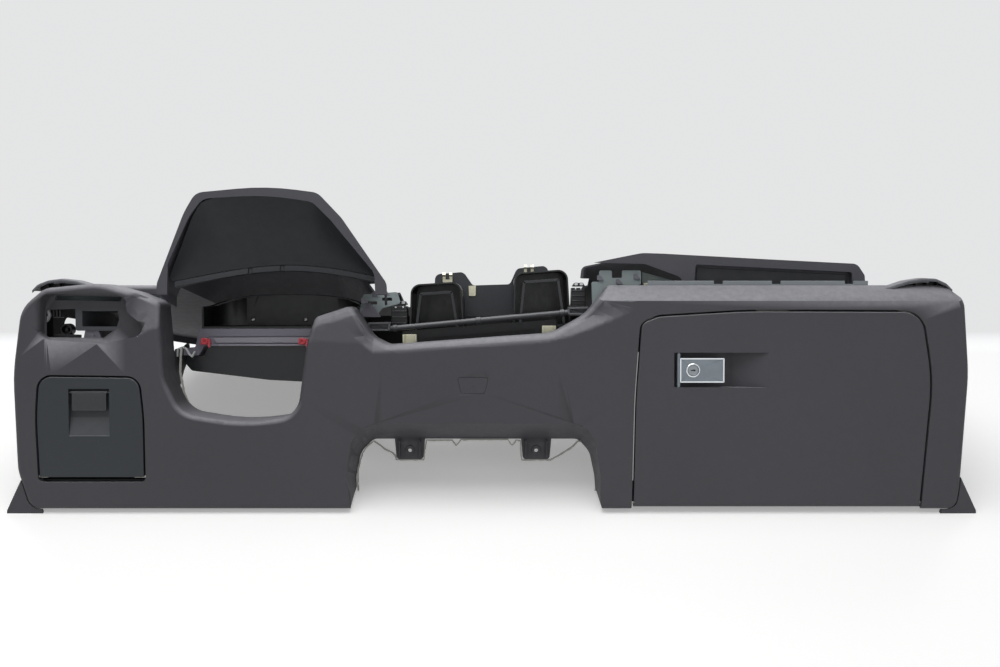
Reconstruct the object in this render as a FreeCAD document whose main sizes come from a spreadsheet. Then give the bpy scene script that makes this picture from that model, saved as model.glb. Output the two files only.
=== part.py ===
# Stripped car dashboard, lying on a bench on its lower front corners and its windscreen edge.
# Face frame: X to the right, Y into the dashboard, Z up along the front face.
# The face frame leans back by face_lean, and the origin is at the foot of the whole part.
import FreeCAD, Part
import math
import os
from FreeCAD import Placement, Rotation, Vector

os.makedirs("parts", exist_ok=True)
doc = FreeCAD.newDocument("dashboard")
sheet = doc.addObject("Spreadsheet::Sheet", "Sizes")

SIZES = [
    ("face_lean", 20.0, "lean of the front face from upright, degrees"),
    ("front_reach", 327.7, "origin to the foot line of the front face"),
    ("bench_margin", 0.4, "rise of the lower flange for each mm of depth"),
    ("half_width", 724.0, "centre line to the end of the fascia"),
    ("wall", 3.0, "wall of the fascia moulding"),
    ("flange_depth", 60.0, "depth of the fascia and its return flanges"),
    ("rim_round", 8.0, "round of the fascia's front edges"),
    ("foot_height", 8.0, "lower edge of the fascia above the foot line"),
    ("end_top", 345.0, "top of the fascia at its left end"),
    ("shelf_front", 326.0, "crease where the passenger shelf starts"),
    ("shelf_back", 350.0, "top of the fascia behind the shelf"),
    ("shelf_depth", 32.0, "depth of the passenger shelf"),
    ("column_left", -497.0, "left side of the steering column opening"),
    ("column_right", -282.0, "right side of the steering column opening"),
    ("column_floor", 139.0, "lowest point of the steering column opening"),
    ("horn_height", 319.0, "tip between column opening and centre opening"),
    ("centre_left", -184.0, "left side of the centre opening"),
    ("centre_right", 181.0, "right top of the centre opening"),
    ("centre_floor", 258.0, "left end of the centre opening's lower edge"),
    ("centre_rise", 18.0, "rise of that edge towards the right"),
    ("arch_left", -218.0, "left side of the console arch"),
    ("arch_right", 170.0, "right side of the console arch"),
    ("arch_front_top", 140.0, "top of the console arch at the face"),
    ("arch_back_top", 108.0, "top of the console arch at the back"),
    ("tab_width", 42.0, "width of a console fixing tab"),
    ("tab_drop", 32.0, "length of a console fixing tab"),
    ("tab_hole", 6.0, "bore of a console fixing tab"),
    ("tab_left_centre", -129.0, "centre of the left console tab"),
    ("tab_right_centre", 70.0, "centre of the right console tab"),
    ("glove_left", 216.0, "left side of the glovebox lid"),
    ("glove_right", 667.0, "right side of the glovebox lid"),
    ("glove_top", 308.0, "top of the glovebox lid"),
    ("lid_gap", 3.0, "gap round each lid"),
    ("lid_depth", 14.0, "depth of the glovebox lid's rim"),
    ("lid_edge", 6.0, "radius of a lid's lower edge, centred on its hinge"),
    ("store_left", -690.0, "left side of the storage lid"),
    ("store_right", -530.0, "right side of the storage lid"),
    ("store_floor", 53.0, "lower edge of the storage lid"),
    ("store_top", 211.0, "top of the storage lid"),
    ("pin_radius", 2.0, "radius of a hinge pin"),
    ("pin_play", 0.06, "radial clearance of a hinge pin"),
    ("tub_wall", 2.5, "wall of the glovebox tub and trays"),
    ("tub_depth", 140.0, "depth of the glovebox tub"),
    ("bay_left", -690.0, "left side of the switch bay"),
    ("bay_right", -530.0, "right side of the switch bay"),
    ("bay_floor", 262.0, "lower edge of the switch bay"),
    ("bay_depth", 22.0, "depth of the switch bay's floor"),
    ("pad_wall", 4.0, "thickness of the top pad"),
    ("pad_front", 352.0, "height of the pad at its front edge"),
    ("pad_rear", 238.0, "height of the pad at the windscreen edge"),
    ("pad_depth", 608.0, "depth of the windscreen edge"),
    ("pad_half_width", 700.0, "half width of the pad's front edge"),
    ("brow_left", 136.0, "left end of the raised brow"),
    ("brow_right", 584.0, "right end of the raised brow"),
    ("brow_height", 400.0, "crest of the raised brow"),
    ("hood_left", -506.0, "left foot of the instrument hood"),
    ("hood_right", -158.0, "right foot of the instrument hood"),
    ("hood_height", 497.0, "crest of the instrument hood"),
    ("handle_left", 281.5, "left side of the glovebox handle"),
    ("handle_width", 75.5, "width of the glovebox handle"),
    ("handle_height", 45.5, "height of the glovebox handle"),
    ("handle_floor", 198.0, "lower edge of the glovebox handle"),
    ("handle_plate", 4.0, "thickness of the glovebox handle"),
    ("scoop_depth", 22.0, "depth of the finger scoop beside the handle"),
    ("lock_radius", 9.0, "radius of the lock cylinder"),
    ("latch_left", -639.5, "left side of the storage handle"),
    ("latch_width", 57.0, "width of the storage handle"),
    ("latch_height", 32.5, "height of the storage handle"),
    ("latch_floor", 157.0, "lower edge of the storage handle"),
    ("screw_head", 3.0, "head radius of a screw"),
    ("seat_gap", 0.3, "gap where one piece is seated on another"),
    ("cap_depth", 2.0, "depth of the blanking cap's recess"),
    ("pad_flange", 16.0, "height of the pad's turned-down edge"),
    ("grille_half", 380.0, "half length of the demister grille"),
    ("grille_near", 505.0, "depth where the demister slot starts"),
    ("grille_far", 545.0, "depth where the demister slot ends"),
    ("panel_reach", 80.0, "depth of the hood lining's lower edge"),
    ("strip_half", 146.0, "half length of the hood's lower trim"),
    ("bar_near", 96.0, "depth of the crossmember's front"),
    ("bar_far", 130.0, "depth of the crossmember's back"),
    ("bar_top", 281.0, "top of the crossmember"),
    ("bar_foot", 253.0, "foot of the crossmember"),
    ("housing_near", 76.3, "depth of the centre housing's front"),
    ("housing_far", 203.0, "depth of the centre housing's back"),
    ("housing_floor", 236.0, "underside of the centre housing"),
    ("housing_top", 300.0, "top of the centre housing"),
    ("duct_wall", 2.5, "wall of an air duct"),
    ("duct_near", 104.0, "depth of the centre ducts' mouths"),
    ("radio_near", 90.0, "depth of the radio panel"),
    ("beam_top", 334.0, "top of the carrier beams"),
    ("scoop_wall", 2.5, "wall of the finger scoop"),
    ("pin_reach", 20.0, "length of a glovebox hinge pin inside the lid"),
    ("handle_pin", 1.5, "radius of the glovebox handle's pin"),
    ("latch_half", 13.0, "half width of the glovebox latch"),
    ("striker_depth", 28.0, "depth of the striker bar"),
    ("striker_radius", 2.0, "radius of the striker bar"),
    ("recess_side", 2.5, "gap at each side of the storage handle"),
    ("latch_pin", 1.2, "radius of the storage handle's pin"),
    ("corner_near", 4.0, "depth of a corner bracket's front"),
    ("corner_far", 9.0, "depth of a corner bracket's back"),
    ("stay_depth", 6.0, "depth of a hooked stay"),
    ("plate_depth", 4.0, "thickness of the left centre bracket"),
    ("crossbar_radius", 4.5, "radius of the crossbar"),
    ("nut_width", 18.0, "width of a speed nut"),
    ("nut_depth", 2.0, "thickness of a speed nut"),
    ("nut_height", 22.0, "height of a speed nut"),
    ("screw_depth", 1.6, "thickness of a screw's head"),
    ("clip_width", 20.0, "width of a duct clip"),
    ("clip_height", 18.0, "height of a duct clip"),
    ("clip_bore", 2.0, "bore radius of a duct clip"),
    ("stand_width", 22.0, "width of a radio bracket"),
    ("stand_depth", 12.0, "depth of a radio bracket"),
    ("stand_height", 18.0, "height of a radio bracket"),
    ("fold", 3.0, "sheet thickness of a radio bracket"),
    ("latch_block", 20.0, "height of the glovebox latch"),
    ("latch_slot", 7.0, "height of the latch's slot"),
]
for row, (alias, value, note) in enumerate(SIZES, start=1):
    sheet.set(f"A{row}", note)
    sheet.set(f"B{row}", str(value))
    sheet.setAlias(f"B{row}", alias)
doc.recompute()


def cell(alias):
    return float(sheet.get(alias))


WALL = cell("wall")
DEPTH = cell("flange_depth")
LEAN = math.radians(cell("face_lean"))
FACE = Placement(Vector(0, -cell("front_reach"), 0), Rotation(Vector(1, 0, 0), -cell("face_lean")))


def spot(axis, across, up, level):
    """Point of an outline that is drawn square to the given axis."""
    if axis == "X":
        return Vector(level, across, up)
    if axis == "Z":
        return Vector(across, up, level)
    return Vector(across, level, up)


def rounded_wire(corners, level=0.0, axis="Y"):
    """Closed outline square to one axis, from corners of (across, up, radius)."""
    spans = []
    points = [spot(axis, across, up, level) for across, up, radius in corners]
    count = len(corners)
    for index, point in enumerate(points):
        radius = corners[index][2]
        if radius == 0:
            spans.append((point, None, point))
            continue
        to_before = (points[index - 1] - point).normalize()
        to_after = (points[(index + 1) % count] - point).normalize()
        half = to_before.getAngle(to_after) / 2
        reach = radius / math.tan(half)
        middle = (to_before + to_after).normalize()
        centre = point + middle * (radius / math.sin(half))
        spans.append((point + to_before * reach, centre - middle * radius, point + to_after * reach))
    edges = []
    for index, (start, peak, end) in enumerate(spans):
        if peak is not None:
            edges.append(Part.Arc(start, peak, end).toShape())
        following = spans[(index + 1) % count][0]
        if (following - end).Length > 0.001:
            edges.append(Part.LineSegment(end, following).toShape())
    return Part.Wire(edges)


def slab(corners, near, far, grow=0.0, axis="Y"):
    """Plate between two levels on an axis, with its outline grown or shrunk by grow."""
    wire = rounded_wire(corners, near, axis)
    if grow:
        wire = wire.makeOffset2D(grow)
    return Part.Face(wire).extrude(spot(axis, 0, 0, far - near))


def block(x0, x1, y0, y1, z0, z1):
    return Part.makeBox(x1 - x0, y1 - y0, z1 - z0, Vector(x0, y0, z0))


def flare(front, back, near, far, grow=0.0):
    """Ruled cut between a front outline and a back outline with as many corners."""
    wires = [rounded_wire(front, near), rounded_wire(back, far)]
    if grow:
        wires = [wire.makeOffset2D(grow) for wire in wires]
    return Part.makeLoft(wires, True, True)


def rod(x0, x1, y, z, radius):
    return Part.makeCylinder(radius, x1 - x0, Vector(x0, y, z), Vector(1, 0, 0))


pieces = []


def node(label, shape):
    """Sub-part with a computed shape, set back with the leaning face."""
    item = doc.addObject("Part::Feature", label)
    item.Label = label
    item.Shape = shape.removeSplitter() if len(shape.Solids) == 1 else shape
    item.Placement = FACE
    pieces.append(item)
    return item


def box_item(name, corner, length, width, height):
    """Box with sheet formulas for its sides, from its near left lower corner."""
    item = doc.addObject("Part::Box", name)
    for side, formula in (("Length", length), ("Width", width), ("Height", height)):
        item.setExpression(side, formula)
    item.Placement = FACE.multiply(Placement(Vector(*corner), Rotation()))
    return item


def rod_item(name, start, way, radius, length):
    """Round bar with sheet formulas for its radius and its length."""
    item = doc.addObject("Part::Cylinder", name)
    item.setExpression("Radius", radius)
    item.setExpression("Height", length)
    turn = Rotation(Vector(0, 0, 1), Vector(*way))
    item.Placement = FACE.multiply(Placement(Vector(*start), turn))
    return item


def cut_item(name, base, tool):
    item = doc.addObject("Part::Cut", name)
    item.Base = base
    item.Tool = tool
    return item


def piece(item, label):
    """Names a finished object as a sub-part."""
    item.Label = label
    pieces.append(item)
    return item


def pair(label, items):
    """Sub-part that holds alike solids."""
    item = doc.addObject("Part::Compound", label)
    item.Links = items
    return piece(item, label)


def outline(body, name, wires, level, axis):
    """Sketch in a body, square to an axis at the given level."""
    sketch = body.newObject("Sketcher::SketchObject", name)
    role, way = ("YZ_Plane", 1) if axis == "X" else ("XZ_Plane", -1)
    plane = next(item for item in body.Origin.OriginFeatures if item.Role == role)
    sketch.AttachmentSupport = (plane, [""])
    sketch.MapMode = "FlatFace"
    sketch.AttachmentOffset = Placement(Vector(0, 0, way * level), Rotation())
    for edge in [edge for wire in wires for edge in wire.Edges]:
        first, last = edge.FirstParameter, edge.LastParameter
        places = [edge.valueAt(value) for value in (first, (first + last) / 2, last)]
        start, middle, end = [
            Vector(place.y if axis == "X" else place.x, place.z, 0) for place in places
        ]
        if (end - start).Length < 0.001:
            centre = (start + middle) / 2
            sketch.addGeometry(Part.Circle(centre, Vector(0, 0, 1), (middle - start).Length / 2))
        elif edge.Curve.TypeId == "Part::GeomLine":
            sketch.addGeometry(Part.LineSegment(start, end))
        else:
            sketch.addGeometry(Part.Arc(start, middle, end))
    return sketch


def plate(label, wire, level, thickness, axis="Y"):
    """Sub-part padded from one outline by a sheet formula."""
    body = doc.addObject("PartDesign::Body", label)
    pad = body.newObject("PartDesign::Pad", f"{label}_pad")
    pad.Profile = outline(body, f"{label}_outline", [wire], level, axis)
    pad.Reversed = axis == "Y"
    pad.setExpression("Length", thickness)
    body.Placement = FACE
    doc.recompute()
    return piece(body, label)


def recess(body, name, wires, level, depth):
    """Pocket cut into a plate from its front."""
    pocket = body.newObject("PartDesign::Pocket", name)
    pocket.Profile = outline(body, f"{name}_outline", wires, level, "Y")
    pocket.setExpression("Length", depth)
    body.Tip = pocket
    doc.recompute()


# Front fascia: one injection moulding, an outer form less the same form drawn in by its wall,
# so that every opening keeps a return flange.  It stays open at the back.
HALF = cell("half_width")
FOOT = cell("foot_height")
END_TOP = cell("end_top")
COLUMN_LEFT = cell("column_left")
COLUMN_RIGHT = cell("column_right")
COLUMN_FLOOR = cell("column_floor")
HORN = cell("horn_height")
CENTRE_LEFT = cell("centre_left")
CENTRE_RIGHT = cell("centre_right")
CENTRE_FLOOR = cell("centre_floor")
CENTRE_RISE = cell("centre_rise")
SHELF_BACK = cell("shelf_back")
ARCH_LEFT = cell("arch_left")
ARCH_RIGHT = cell("arch_right")
ARCH_TOP = cell("arch_front_top")
ARCH_BACK = cell("arch_back_top")
GLOVE_LEFT = cell("glove_left")
GLOVE_RIGHT = cell("glove_right")
GLOVE_TOP = cell("glove_top")
GAP = cell("lid_gap")

CENTRE_EDGE = [
    (CENTRE_LEFT - 28, HORN - 2, 0),
    (CENTRE_LEFT + 2, CENTRE_FLOOR + 12, 30),
    (CENTRE_LEFT + 26, CENTRE_FLOOR, 20),
    (CENTRE_RIGHT - 88, CENTRE_FLOOR + CENTRE_RISE, 60),
    (CENTRE_RIGHT - 36, HORN - 14, 70),
]
FASCIA_EDGE = [
    (-HALF + 20, FOOT, 22),
    (-HALF + 1, FOOT + 60, 60),
    (-HALF - 4, 215, 300),
    (-HALF + 10, END_TOP - 30, 50),
    (-HALF + 46, END_TOP, 30),
    (-HALF + 128, END_TOP + 8, 80),
    (COLUMN_LEFT - 46, END_TOP - 6, 20),
    (COLUMN_LEFT - 8, END_TOP - 22, 12),
    (COLUMN_LEFT, 206, 90),
    (COLUMN_LEFT + 24, COLUMN_FLOOR + 16, 40),
    (COLUMN_LEFT + 120, COLUMN_FLOOR, 300),
    (COLUMN_RIGHT - 14, COLUMN_FLOOR + 12, 36),
    (COLUMN_RIGHT + 1, COLUMN_FLOOR + 121, 150),
    (COLUMN_RIGHT + 13, HORN - 18, 12),
    (CENTRE_LEFT - 30, HORN, 12),
    *CENTRE_EDGE[1:],
    (CENTRE_RIGHT, SHELF_BACK, 10),
    (HALF - 26, SHELF_BACK, 20),
    (HALF - 6, SHELF_BACK - 26, 30),
    (HALF + 2, 215, 300),
    (HALF - 9, FOOT + 36, 60),
    (HALF - 14, FOOT, 18),
]
ARCH_FRONT = [
    (ARCH_LEFT + 5, FOOT - 20, 0),
    (ARCH_LEFT - 3, 60, 60),
    (ARCH_LEFT + 4, ARCH_TOP - 26, 40),
    (ARCH_LEFT + 30, ARCH_TOP, 30),
    (ARCH_RIGHT - 30, ARCH_TOP, 30),
    (ARCH_RIGHT - 12, ARCH_TOP - 26, 40),
    (ARCH_RIGHT - 4, 60, 60),
    (ARCH_RIGHT, FOOT - 20, 0),
]
ARCH_BACK_EDGE = [
    (ARCH_LEFT + 6, FOOT - 20, 0),
    (ARCH_LEFT + 4, 50, 60),
    (ARCH_LEFT + 12, ARCH_BACK - 20, 30),
    (ARCH_LEFT + 32, ARCH_BACK, 16),
    (ARCH_RIGHT - 34, ARCH_BACK, 16),
    (ARCH_RIGHT - 16, ARCH_BACK - 20, 30),
    (ARCH_RIGHT - 8, 50, 60),
    (ARCH_RIGHT - 4, FOOT - 20, 0),
]
GLOVE_EDGE = [
    (GLOVE_LEFT, FOOT - 30, 0),
    (GLOVE_LEFT + 4, 176, 900),
    (GLOVE_LEFT + 12, GLOVE_TOP - 16, 14),
    (GLOVE_LEFT + 38, GLOVE_TOP - 6, 24),
    (GLOVE_LEFT + 170, GLOVE_TOP + 2, 900),
    (GLOVE_RIGHT - 16, GLOVE_TOP + 1, 34),
    (GLOVE_RIGHT + 1, 206, 300),
    (GLOVE_RIGHT - 18, FOOT - 30, 0),
]
STORE_LEFT = cell("store_left")
STORE_RIGHT = cell("store_right")
STORE_FLOOR = cell("store_floor")
STORE_TOP = cell("store_top")
STORE_EDGE = [
    (STORE_LEFT + 3, STORE_FLOOR, 5),
    (STORE_LEFT - 1, 150, 400),
    (STORE_LEFT + 4, STORE_TOP, 20),
    (STORE_RIGHT - 6, STORE_TOP - 2, 20),
    (STORE_RIGHT, 150, 400),
    (STORE_RIGHT + 1, STORE_FLOOR, 5),
]
BAY_LEFT = cell("bay_left")
BAY_RIGHT = cell("bay_right")
BAY_FLOOR = cell("bay_floor")
BAY_DEPTH = cell("bay_depth")
BAY_EDGE = [
    (BAY_LEFT, BAY_FLOOR + 6, 16),
    (BAY_LEFT + 8, END_TOP - 8, 14),
    (BAY_RIGHT - 20, END_TOP - 12, 10),
    (BAY_RIGHT - 26, BAY_FLOOR + 50, 20),
    (BAY_RIGHT + 14, BAY_FLOOR + 15, 12),
    (BAY_RIGHT - 62, BAY_FLOOR - 2, 40),
]


def fascia_block(inset):
    """Solid form of the fascia, drawn in by inset on every side but the back."""
    far = DEPTH + (20 if inset else 0)
    form = slab(FASCIA_EDGE, inset, far, -inset)
    rim = [edge for edge in form.Edges if edge.BoundBox.YMax < inset + 0.01]
    form = form.makeFillet(cell("rim_round") - inset, rim)
    rise = cell("bench_margin")
    sill = [
        (-5, FOOT - 40, 0),
        (far + 5, FOOT - 40, 0),
        (far + 5, FOOT + rise * (far + 5), 0),
        (-5, FOOT - 5 * rise, 0),
    ]
    form = form.cut(slab(sill, -HALF - 20, HALF + 20, inset, "X"))
    shelf_slope = (SHELF_BACK - cell("shelf_front")) / cell("shelf_depth")
    crease = cell("shelf_front")
    shelf = [
        (-5, crease - 5 * shelf_slope, 0),
        (70, crease + 70 * shelf_slope, 0),
        (70, 460, 0),
        (-5, 460, 0),
    ]
    form = form.cut(slab(shelf, CENTRE_RIGHT - 60, HALF + 20, inset, "X"))
    form = form.cut(flare(ARCH_FRONT, ARCH_BACK_EDGE, -0.5, DEPTH + 0.5, inset))
    form = form.cut(slab(GLOVE_EDGE, -5, far + 5, GAP + inset))
    form = form.cut(slab(STORE_EDGE, -5, far + 5, GAP + inset))
    form = form.cut(slab(BAY_EDGE, -5, BAY_DEPTH if not inset else BAY_DEPTH + inset, inset))
    return form


PIN = cell("pin_radius")
PLAY = cell("pin_play")
EDGE = cell("lid_edge")
GLOVE_HINGE = (EDGE, FOOT + 10.0)
STORE_HINGE = (EDGE - 1, STORE_FLOOR + EDGE - 1)
SEAT = cell("seat_gap")
BAY_WINDOWS = [
    [
        (BAY_LEFT + 6, BAY_FLOOR + 8, 4),
        (BAY_LEFT + 6, BAY_FLOOR + 50, 4),
        (BAY_RIGHT - 44, BAY_FLOOR + 54, 4),
        (BAY_RIGHT - 40, BAY_FLOOR + 26, 6),
        (BAY_RIGHT - 66, BAY_FLOOR + 7, 6),
    ],
    [
        (BAY_LEFT + 20, BAY_FLOOR + 65, 2),
        (BAY_LEFT + 22, BAY_FLOOR + 72, 2),
        (BAY_RIGHT - 36, BAY_FLOOR + 70, 2),
        (BAY_RIGHT - 40, BAY_FLOOR + 63, 2),
    ],
]
CAP_EDGE = [(-52, 210, 4), (-4, 210, 4), (-10, 185, 4), (-46, 185, 4)]
CAP_DEPTH = cell("cap_depth")
TAB_CENTRES = [cell("tab_left_centre"), cell("tab_right_centre")]

fascia = fascia_block(0.0).cut(fascia_block(WALL))
for window in BAY_WINDOWS:
    fascia = fascia.cut(slab(window, BAY_DEPTH - 5, BAY_DEPTH + 10))
for middle in TAB_CENTRES:
    half = cell("tab_width") / 2
    low = ARCH_BACK - cell("tab_drop")
    tab = slab(
        [
            (middle - half, low, 6),
            (middle - half - 3, ARCH_BACK + 2, 0),
            (middle + half + 3, ARCH_BACK + 2, 0),
            (middle + half, low, 6),
        ],
        DEPTH - WALL,
        DEPTH,
    )
    bore = Part.makeCylinder(
        cell("tab_hole") / 2, 20, Vector(middle, DEPTH - 10, low + 14), Vector(0, 1, 0)
    )
    fascia = fascia.fuse(tab).cut(bore)
fascia = fascia.cut(slab(CAP_EDGE, -1, CAP_DEPTH))
fascia = fascia.cut(rod(STORE_LEFT - 20, STORE_LEFT + 20, *STORE_HINGE, PIN))
fascia = fascia.cut(rod(STORE_RIGHT - 20, STORE_RIGHT + 20, *STORE_HINGE, PIN))
fascia = fascia.cut(rod(GLOVE_LEFT - 8, GLOVE_LEFT + 10, *GLOVE_HINGE, PIN))
fascia = fascia.cut(rod(GLOVE_RIGHT - 20, GLOVE_RIGHT - 9, *GLOVE_HINGE, PIN))
node("front_fascia", fascia)

# Blanking cap: small moulded cover pressed into its recess in the middle of the fascia.
CAP_NEAR = 0.2
dimple = Part.Wire(Part.Circle(Vector(-28, 0, 196), Vector(0, 1, 0), 0.9).toShape())
cap = plate(
    "blanking_cap", rounded_wire(CAP_EDGE).makeOffset2D(-0.5), CAP_NEAR, f"Sizes.cap_depth - {CAP_NEAR}"
)
recess(cap, "cap_dimple", [dimple], CAP_NEAR, "Sizes.cap_depth / 2")

# Top pad: soft skinned moulding from the front rail to the windscreen edge, with the instrument
# hood and the raised brow in one piece.  It is a sheet with its edges turned down.
PAD_NEAR = DEPTH + SEAT
PAD_FRONT = cell("pad_front")
PAD_REAR = cell("pad_rear")
PAD_FAR = cell("pad_depth")
PAD_HALF = cell("pad_half_width")
PAD_WALL = cell("pad_wall")
HOOD_LEFT = cell("hood_left")
HOOD_RIGHT = cell("hood_right")
HOOD_TOP = cell("hood_height")
BROW_LEFT = cell("brow_left")
BROW_RIGHT = cell("brow_right")
BROW_TOP = cell("brow_height")
PAD_FLANGE = cell("pad_flange")
PAD_FALL = (PAD_FRONT - PAD_REAR) / (PAD_FAR - PAD_NEAR)


def pad_height(depth):
    return PAD_FRONT - PAD_FALL * (depth - PAD_NEAR)


def hood_front(foot):
    return [
        (HOOD_LEFT, foot, 0),
        (HOOD_LEFT, PAD_FRONT, 20),
        (HOOD_LEFT + 42, HOOD_TOP - 38, 120),
        (HOOD_LEFT + 60, HOOD_TOP - 8, 22),
        (HOOD_LEFT + 167, HOOD_TOP + 2, 400),
        (HOOD_RIGHT - 104, HOOD_TOP - 8, 24),
        (HOOD_RIGHT - 68, HOOD_TOP - 46, 60),
        (HOOD_RIGHT, PAD_FRONT, 20),
        (HOOD_RIGHT, foot, 0),
    ]


def hood_back(foot):
    low = pad_height(400) - 4
    return [
        (HOOD_LEFT + 36, foot, 0),
        (HOOD_LEFT + 36, low - 50, 20),
        (HOOD_LEFT + 66, low - 18, 40),
        (HOOD_LEFT + 81, low - 6, 20),
        (HOOD_LEFT + 166, low, 400),
        (HOOD_RIGHT - 104, low - 6, 20),
        (HOOD_RIGHT - 77, low - 18, 40),
        (HOOD_RIGHT - 42, low - 50, 20),
        (HOOD_RIGHT - 42, foot, 0),
    ]


def brow_front(foot):
    return [
        (BROW_LEFT, foot, 0),
        (BROW_LEFT + 5, BROW_TOP - 18, 10),
        (BROW_LEFT + 100, BROW_TOP + 1, 60),
        (BROW_LEFT + 132, BROW_TOP, 60),
        (BROW_LEFT + 299, BROW_TOP - 9, 200),
        (BROW_RIGHT - 10, BROW_TOP - 16, 14),
        (BROW_RIGHT + 2, BROW_TOP - 34, 8),
        (BROW_RIGHT + 4, foot, 0),
    ]


def brow_back(foot):
    low = pad_height(330) - 5
    return [
        (BROW_LEFT + 14, foot, 0),
        (BROW_LEFT + 24, low - 6, 10),
        (BROW_LEFT + 100, low, 60),
        (BROW_LEFT + 132, low, 60),
        (BROW_LEFT + 299, low - 1, 200),
        (BROW_RIGHT - 38, low - 9, 12),
        (BROW_RIGHT - 30, low - 20, 8),
        (BROW_RIGHT - 26, foot, 0),
    ]


BROW_FACE = [
    (BROW_LEFT + 181, PAD_FRONT - 22, 0),
    (BROW_LEFT + 184, BROW_TOP - 17, 4),
    (BROW_RIGHT - 18, BROW_TOP - 29, 4),
    (BROW_RIGHT - 16, PAD_FRONT - 22, 0),
]
PAD_PLAN = [
    (-PAD_HALF, PAD_NEAR, 10),
    (-PAD_HALF - 4, 430, 200),
    (-600, PAD_FAR - 38, 120),
    (-430, PAD_FAR, 260),
    (430, PAD_FAR, 260),
    (600, PAD_FAR - 38, 120),
    (PAD_HALF + 4, 430, 200),
    (PAD_HALF, PAD_NEAR, 10),
]


def pad_forms(inset):
    """Sheet, hood and brow of the pad, each drawn in by inset and then carried further down."""
    drop = PAD_FLANGE if inset == 0 else PAD_FLANGE + 60
    side = [
        (PAD_NEAR, PAD_FRONT - drop, 0),
        (PAD_NEAR, PAD_FRONT, 7),
        (PAD_FAR, PAD_REAR, 7),
        (PAD_FAR, PAD_REAR - drop, 0),
    ]
    spread = slab(side, -760, 760, -inset, "X").common(slab(PAD_PLAN, 100, 500, -inset, "Z"))
    foot = PAD_FRONT - (PAD_FLANGE if inset == 0 else 90)
    rear_foot = pad_height(400) - (70 if inset == 0 else 130)
    hood = flare(hood_front(foot), hood_back(rear_foot), inset, 400, -inset)
    brow_foot = PAD_FRONT - (PAD_FLANGE if inset == 0 else 80)
    brow = flare(brow_front(brow_foot), brow_back(brow_foot - 100), PAD_NEAR + inset, 330, -inset)
    brow = brow.cut(slab(BROW_FACE, PAD_NEAR - 5, PAD_NEAR + 12 + inset, inset))
    return [spread, hood, brow]


HOOD_MOUTH = [
    (HOOD_LEFT + 14, PAD_FRONT - 60, 0),
    (HOOD_LEFT + 17, PAD_FRONT + 30, 20),
    (HOOD_LEFT + 50, HOOD_TOP - 44, 60),
    (HOOD_LEFT + 70, HOOD_TOP - 17, 22),
    (HOOD_LEFT + 167, HOOD_TOP - 11, 400),
    (HOOD_RIGHT - 112, HOOD_TOP - 22, 24),
    (HOOD_RIGHT - 84, HOOD_TOP - 50, 60),
    (HOOD_RIGHT - 19, PAD_FRONT + 16, 20),
    (HOOD_RIGHT - 16, PAD_FRONT - 60, 0),
]
sheet_form, hood_form, brow_form = pad_forms(0.0)
sheet_room, hood_room, brow_room = pad_forms(PAD_WALL)
brow_plan = [
    (BROW_LEFT + PAD_WALL, PAD_NEAR + PAD_WALL, 0),
    (BROW_LEFT + 12, 215, 0),
    (BROW_LEFT + 30, 252, 0),
    (BROW_LEFT + 60, 272, 0),
    (BROW_LEFT + 132, 293, 0),
    (BROW_LEFT + 299, 281, 0),
    (BROW_RIGHT - 60, 266, 0),
    (BROW_RIGHT - 19, 225, 0),
    (BROW_RIGHT - PAD_WALL, PAD_NEAR + PAD_WALL, 0),
]
pad = sheet_form.cut(sheet_room).cut(hood_room).cut(slab(brow_plan, 200, 400, 0, "Z"))
pad = pad.fuse(hood_form.cut(hood_room).cut(sheet_room)).fuse(brow_form.cut(brow_room).cut(sheet_room))
pad = pad.cut(slab(HOOD_MOUTH, -5, 12))
hollow = flare(hood_front(PAD_FRONT - 90), hood_back(pad_height(400) - 130), 0, 400, -PAD_WALL - 1)
pad = pad.cut(hollow.common(block(-760, 0, PAD_NEAR - 5, 205, 200, PAD_FRONT + 16)))
pad = pad.cut(block(-150, BROW_LEFT - 2, PAD_NEAR - 5, 240, 200, 440))
pad = pad.cut(block(-212, BROW_LEFT - 2, PAD_NEAR - 5, 122, 200, PAD_FRONT + 1))
BROW_WINDOW = [
    (BROW_LEFT - 4, PAD_FRONT - 50, 0),
    (BROW_LEFT - 4, BROW_TOP - 22, 0),
    (BROW_LEFT + 16, BROW_TOP - 14, 8),
    (BROW_LEFT + 104, BROW_TOP - 16, 20),
    (BROW_LEFT + 164, BROW_TOP - 38, 20),
    (BROW_LEFT + 178, PAD_FRONT - 50, 0),
]
pad = pad.cut(slab(BROW_WINDOW, PAD_NEAR - 5, PAD_NEAR + 7))
pad = pad.cut(block(BROW_LEFT - 4, BROW_LEFT + 22, PAD_NEAR - 5, 150, PAD_FRONT - 40, PAD_FRONT + 10))
GRILLE_HALF = cell("grille_half")
GRILLE_NEAR = cell("grille_near")
GRILLE_FAR = cell("grille_far")
pad = pad.cut(block(-GRILLE_HALF, GRILLE_HALF, GRILLE_NEAR, GRILLE_FAR, 200, 300))
node("top_pad", pad)

# Hood inner panel: dark moulded panel that closes the underside of the hood, set back from the
# lip at its lower edge.
PANEL_TOP = HOOD_TOP - 12
PANEL_FOOT = PAD_FRONT + 32
PANEL_REACH = cell("panel_reach")
panel_side = [
    (6, PANEL_TOP - 3, 0),
    (6, PANEL_TOP + 1, 0),
    (PANEL_REACH, PANEL_FOOT + 3, 0),
    (PANEL_REACH, PANEL_FOOT, 0),
]
room = flare(
    hood_front(PAD_FRONT - 90), hood_back(pad_height(400) - 130), PAD_WALL, 400, -PAD_WALL - SEAT
)
panel = slab(panel_side, -600, -100, 0, "X").common(room)
node("hood_inner_panel", panel)

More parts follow.
